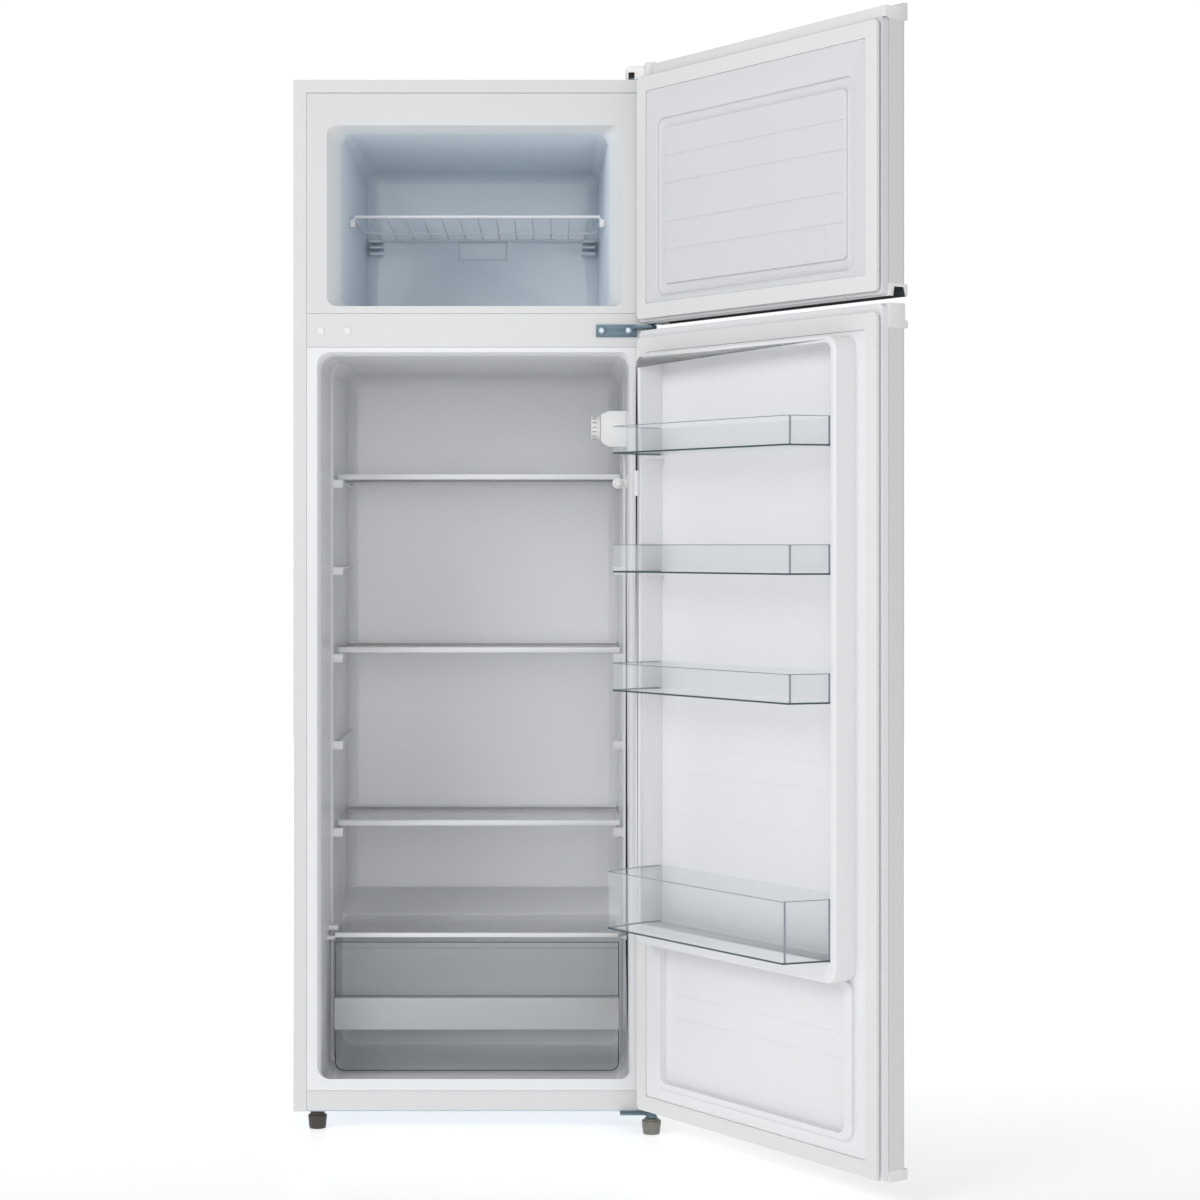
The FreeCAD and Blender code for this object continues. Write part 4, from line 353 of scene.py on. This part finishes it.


# Thin dark strips along each bin's foot, rim and corner posts: painted refraction lines at the
# clear plastic's edges.
for node, body, reach in BINS:
    low, high = (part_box(node)[i][2] for i in (0, 1))
    thin, inside = bin_path(reach, 0.0003), bin_path(reach, -0.0006)
    strip(node + "_foot_edge", inside, thin, (low - 0.0002, low + 0.0022), "dark_refraction_edge", body,
          True)
    strip(node + "_rim_edge", inside, thin, (high - 0.0008, high + 0.0003), "tinted_refraction_edge", body,
          True)
    for name, x, y in (("near", 0.2116, FRONT + 0.033), ("mid", 0.1975, FRONT + reach - 0.004)):
        bar(f"{node}_{name}_post", (-x - 0.0014, -x + 0.0002), (y - 0.0012, y + 0.0012),
            (low + 0.001, high - 0.0005), "tinted_refraction_edge", body, True)

drawer_low, drawer_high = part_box("crisper_drawer")
DRAWER_FRONT, GRIP_FRONT = FRONT + 0.105, FRONT + 0.094
GRIP_LOW, GRIP_HIGH = 0.132, 0.185
drawer_wide = (drawer_low[0] + 0.001, drawer_high[0] - 0.001)
# Dark strips along the drawer's rim, lip and grip: painted refraction lines at the clear
# plastic's edges.
for name, y, z, look in (
        ("rim", DRAWER_FRONT, drawer_high[2], "dark_refraction_edge"),
        ("lip", DRAWER_FRONT, drawer_high[2] - 0.009, "tinted_refraction_edge"),
        ("grip_head", GRIP_FRONT, GRIP_HIGH, "dark_refraction_edge"),
        ("grip_foot", GRIP_FRONT, GRIP_LOW + 0.001, "tinted_refraction_edge")):
    bar(f"drawer_{name}_edge", drawer_wide, (y - 0.0008, y + 0.0006), (z - 0.0012, z + 0.0002),
        look, "drawer")
bar("drawer_grip_frost", drawer_wide, (GRIP_FRONT - 0.0005, GRIP_FRONT - 0.0001),
    (GRIP_LOW, GRIP_HIGH - 0.004), "frosted_band", "drawer")


def drawer_outline(inset):
    """The drawer's front below its rim, as points in X and Z with round lower corners."""
    radius, half, low = 0.014 - inset, drawer_high[0] - inset, drawer_low[2] + inset
    bend = [(radius * math.sin(t * math.pi / 12), radius * math.cos(t * math.pi / 12))
            for t in range(7)]
    right = [(half - radius + a, low + radius - b) for a, b in bend]
    right.append((half, drawer_high[2] - 0.001))
    return [(-x, z) for x, z in reversed(right)] + right


# A dark outline round the drawer's front: painted refraction line at its clear edge.
hoop("drawer_front_outline", drawer_outline(0.002), drawer_outline(0.0002),
     (DRAWER_FRONT - 0.0004, DRAWER_FRONT + 0.0006), "dark_refraction_edge", "drawer")


# ---------------------------------------------------------------- marks

MARK_RADIUS = 19.5 * MM
dial_low, dial_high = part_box("thermostat_dial")
dial_mid = [(a + b) / 2 for a, b in zip(dial_low, dial_high)]
for number, degrees in enumerate((-64, -43, -21, 0, 21, 43, 64)):
    angle = math.radians(degrees)
    y = dial_mid[1] - MARK_RADIUS * math.cos(angle)
    z = dial_mid[2] + MARK_RADIUS * math.sin(angle)
    bar(f"dial_mark_{number}", (dial_low[0] + 0.002, dial_low[0] + 0.008),
        (y - 0.0004, y + 0.0004), (z - 0.0005, z + 0.0005), "slate", "dial")

# The door's shallow ribs, each with its height above the cabinet's underside and half width.
for number, (height, reach) in enumerate(((0.553, 0.19), (0.517, 0.19), (0.455, 0.19),
                                          (0.192, 0.185), (0.158, 0.185))):
    z = BASE + height
    bar(f"door_rib_{number}", (-reach, reach), (FRONT - 0.0087, FRONT - 0.0081),
        (z, z + 0.002), "white_liner", "fridge_door", True)
# A small hole in the door's liner, drawn as a dark slate square: painted shade inside the hole.
HOLE_X, HOLE_Z, HOLE_HALF = -0.232, BASE + 0.032, 1.2 * MM
bar("door_liner_hole_painted_shade", (HOLE_X - HOLE_HALF, HOLE_X + HOLE_HALF),
    (FRONT - 0.0089, FRONT - 0.0084), (HOLE_Z - HOLE_HALF, HOLE_Z + HOLE_HALF), "slate",
    "fridge_door", True)


# ---------------------------------------------------------------- stage, lights, camera

def area_light(name, place, target, size, power):
    data = bpy.data.lights.new(name, "AREA")
    data.shape = "RECTANGLE"
    data.size, data.size_y = size
    data.energy = power
    lamp = bpy.data.objects.new(name, data)
    lamp.location = place
    lamp.rotation_euler = (Vector(target) - Vector(place)).to_track_quat("-Z", "Y").to_euler()
    bpy.context.scene.collection.objects.link(lamp)


def make_floor():
    """White paper that glows more towards the back, so no horizon shows."""
    bpy.ops.mesh.primitive_plane_add(size=12, location=(0, 1.5, -0.0005))
    floor = bpy.context.object
    floor.name = "floor"
    paper = grain(shader("StudioFloor", (0.80, 0.80, 0.80), 0.3, Emission_Color=(1, 1, 1, 1)),
                  40, 0.02)
    tree = paper.node_tree
    place = tree.nodes.new("ShaderNodeTexCoord")
    axes = tree.nodes.new("ShaderNodeSeparateXYZ")
    spread = tree.nodes.new("ShaderNodeMapRange")
    for name, number in (("From Min", -2.2), ("From Max", 0.4), ("To Min", 0.42),
                         ("To Max", 1.0)):
        spread.inputs[name].default_value = number
    tree.links.new(place.outputs["Object"], axes.inputs["Vector"])
    tree.links.new(axes.outputs["Y"], spread.inputs["Value"])
    tree.links.new(spread.outputs["Result"],
                   tree.nodes["Principled BSDF"].inputs["Emission Strength"])
    floor.data.materials.append(paper)


def make_world(lit, shown):
    """A dim, slightly cool sky for the light, and white where the camera sees it."""
    world = bpy.data.worlds.new("Studio")
    bpy.context.scene.world = world
    world.use_nodes = True
    tree = world.node_tree
    soft = tree.nodes["Background"]
    soft.inputs["Color"].default_value = (0.97, 0.985, 1, 1)
    soft.inputs["Strength"].default_value = lit
    seen = tree.nodes.new("ShaderNodeBackground")
    seen.inputs["Color"].default_value = (1, 1, 1, 1)
    seen.inputs["Strength"].default_value = shown
    path = tree.nodes.new("ShaderNodeLightPath")
    mix = tree.nodes.new("ShaderNodeMixShader")
    tree.links.new(path.outputs["Is Camera Ray"], mix.inputs["Fac"])
    tree.links.new(soft.outputs["Background"], mix.inputs[1])
    tree.links.new(seen.outputs["Background"], mix.inputs[2])
    tree.links.new(mix.outputs["Shader"], tree.nodes["World Output"].inputs["Surface"])


def make_camera():
    """The photograph's viewpoint: level, four metres ahead of the cabinet, right of centre."""
    data = bpy.data.cameras.new("Camera")
    data.sensor_width = 36
    data.lens = 78.48
    data.shift_x, data.shift_y = 0.035, -0.0458
    camera = bpy.data.objects.new("Camera", data)
    camera.location = (0.125, FRONT - 3.93, BASE + 0.851)
    camera.rotation_euler = (math.radians(90), 0, 0)
    bpy.context.scene.collection.objects.link(camera)
    bpy.context.scene.camera = camera


make_floor()
make_world(lit=0.46, shown=1.02)
bpy.context.scene.view_settings.view_transform = "Standard"
area_light("KeyLight", (-2.4, -3.2, 2.6), (0, 0, 0.9), (2.2, 1.8), 58)
area_light("FillLight", (2.6, -3.4, 1.8), (0.3, -0.2, 0.9), (2.0, 2.0), 9)
area_light("FrontLight", (0.1, -4.3, 1.5), (0, 0, 0.85), (1.4, 1.4), 18)
make_camera()
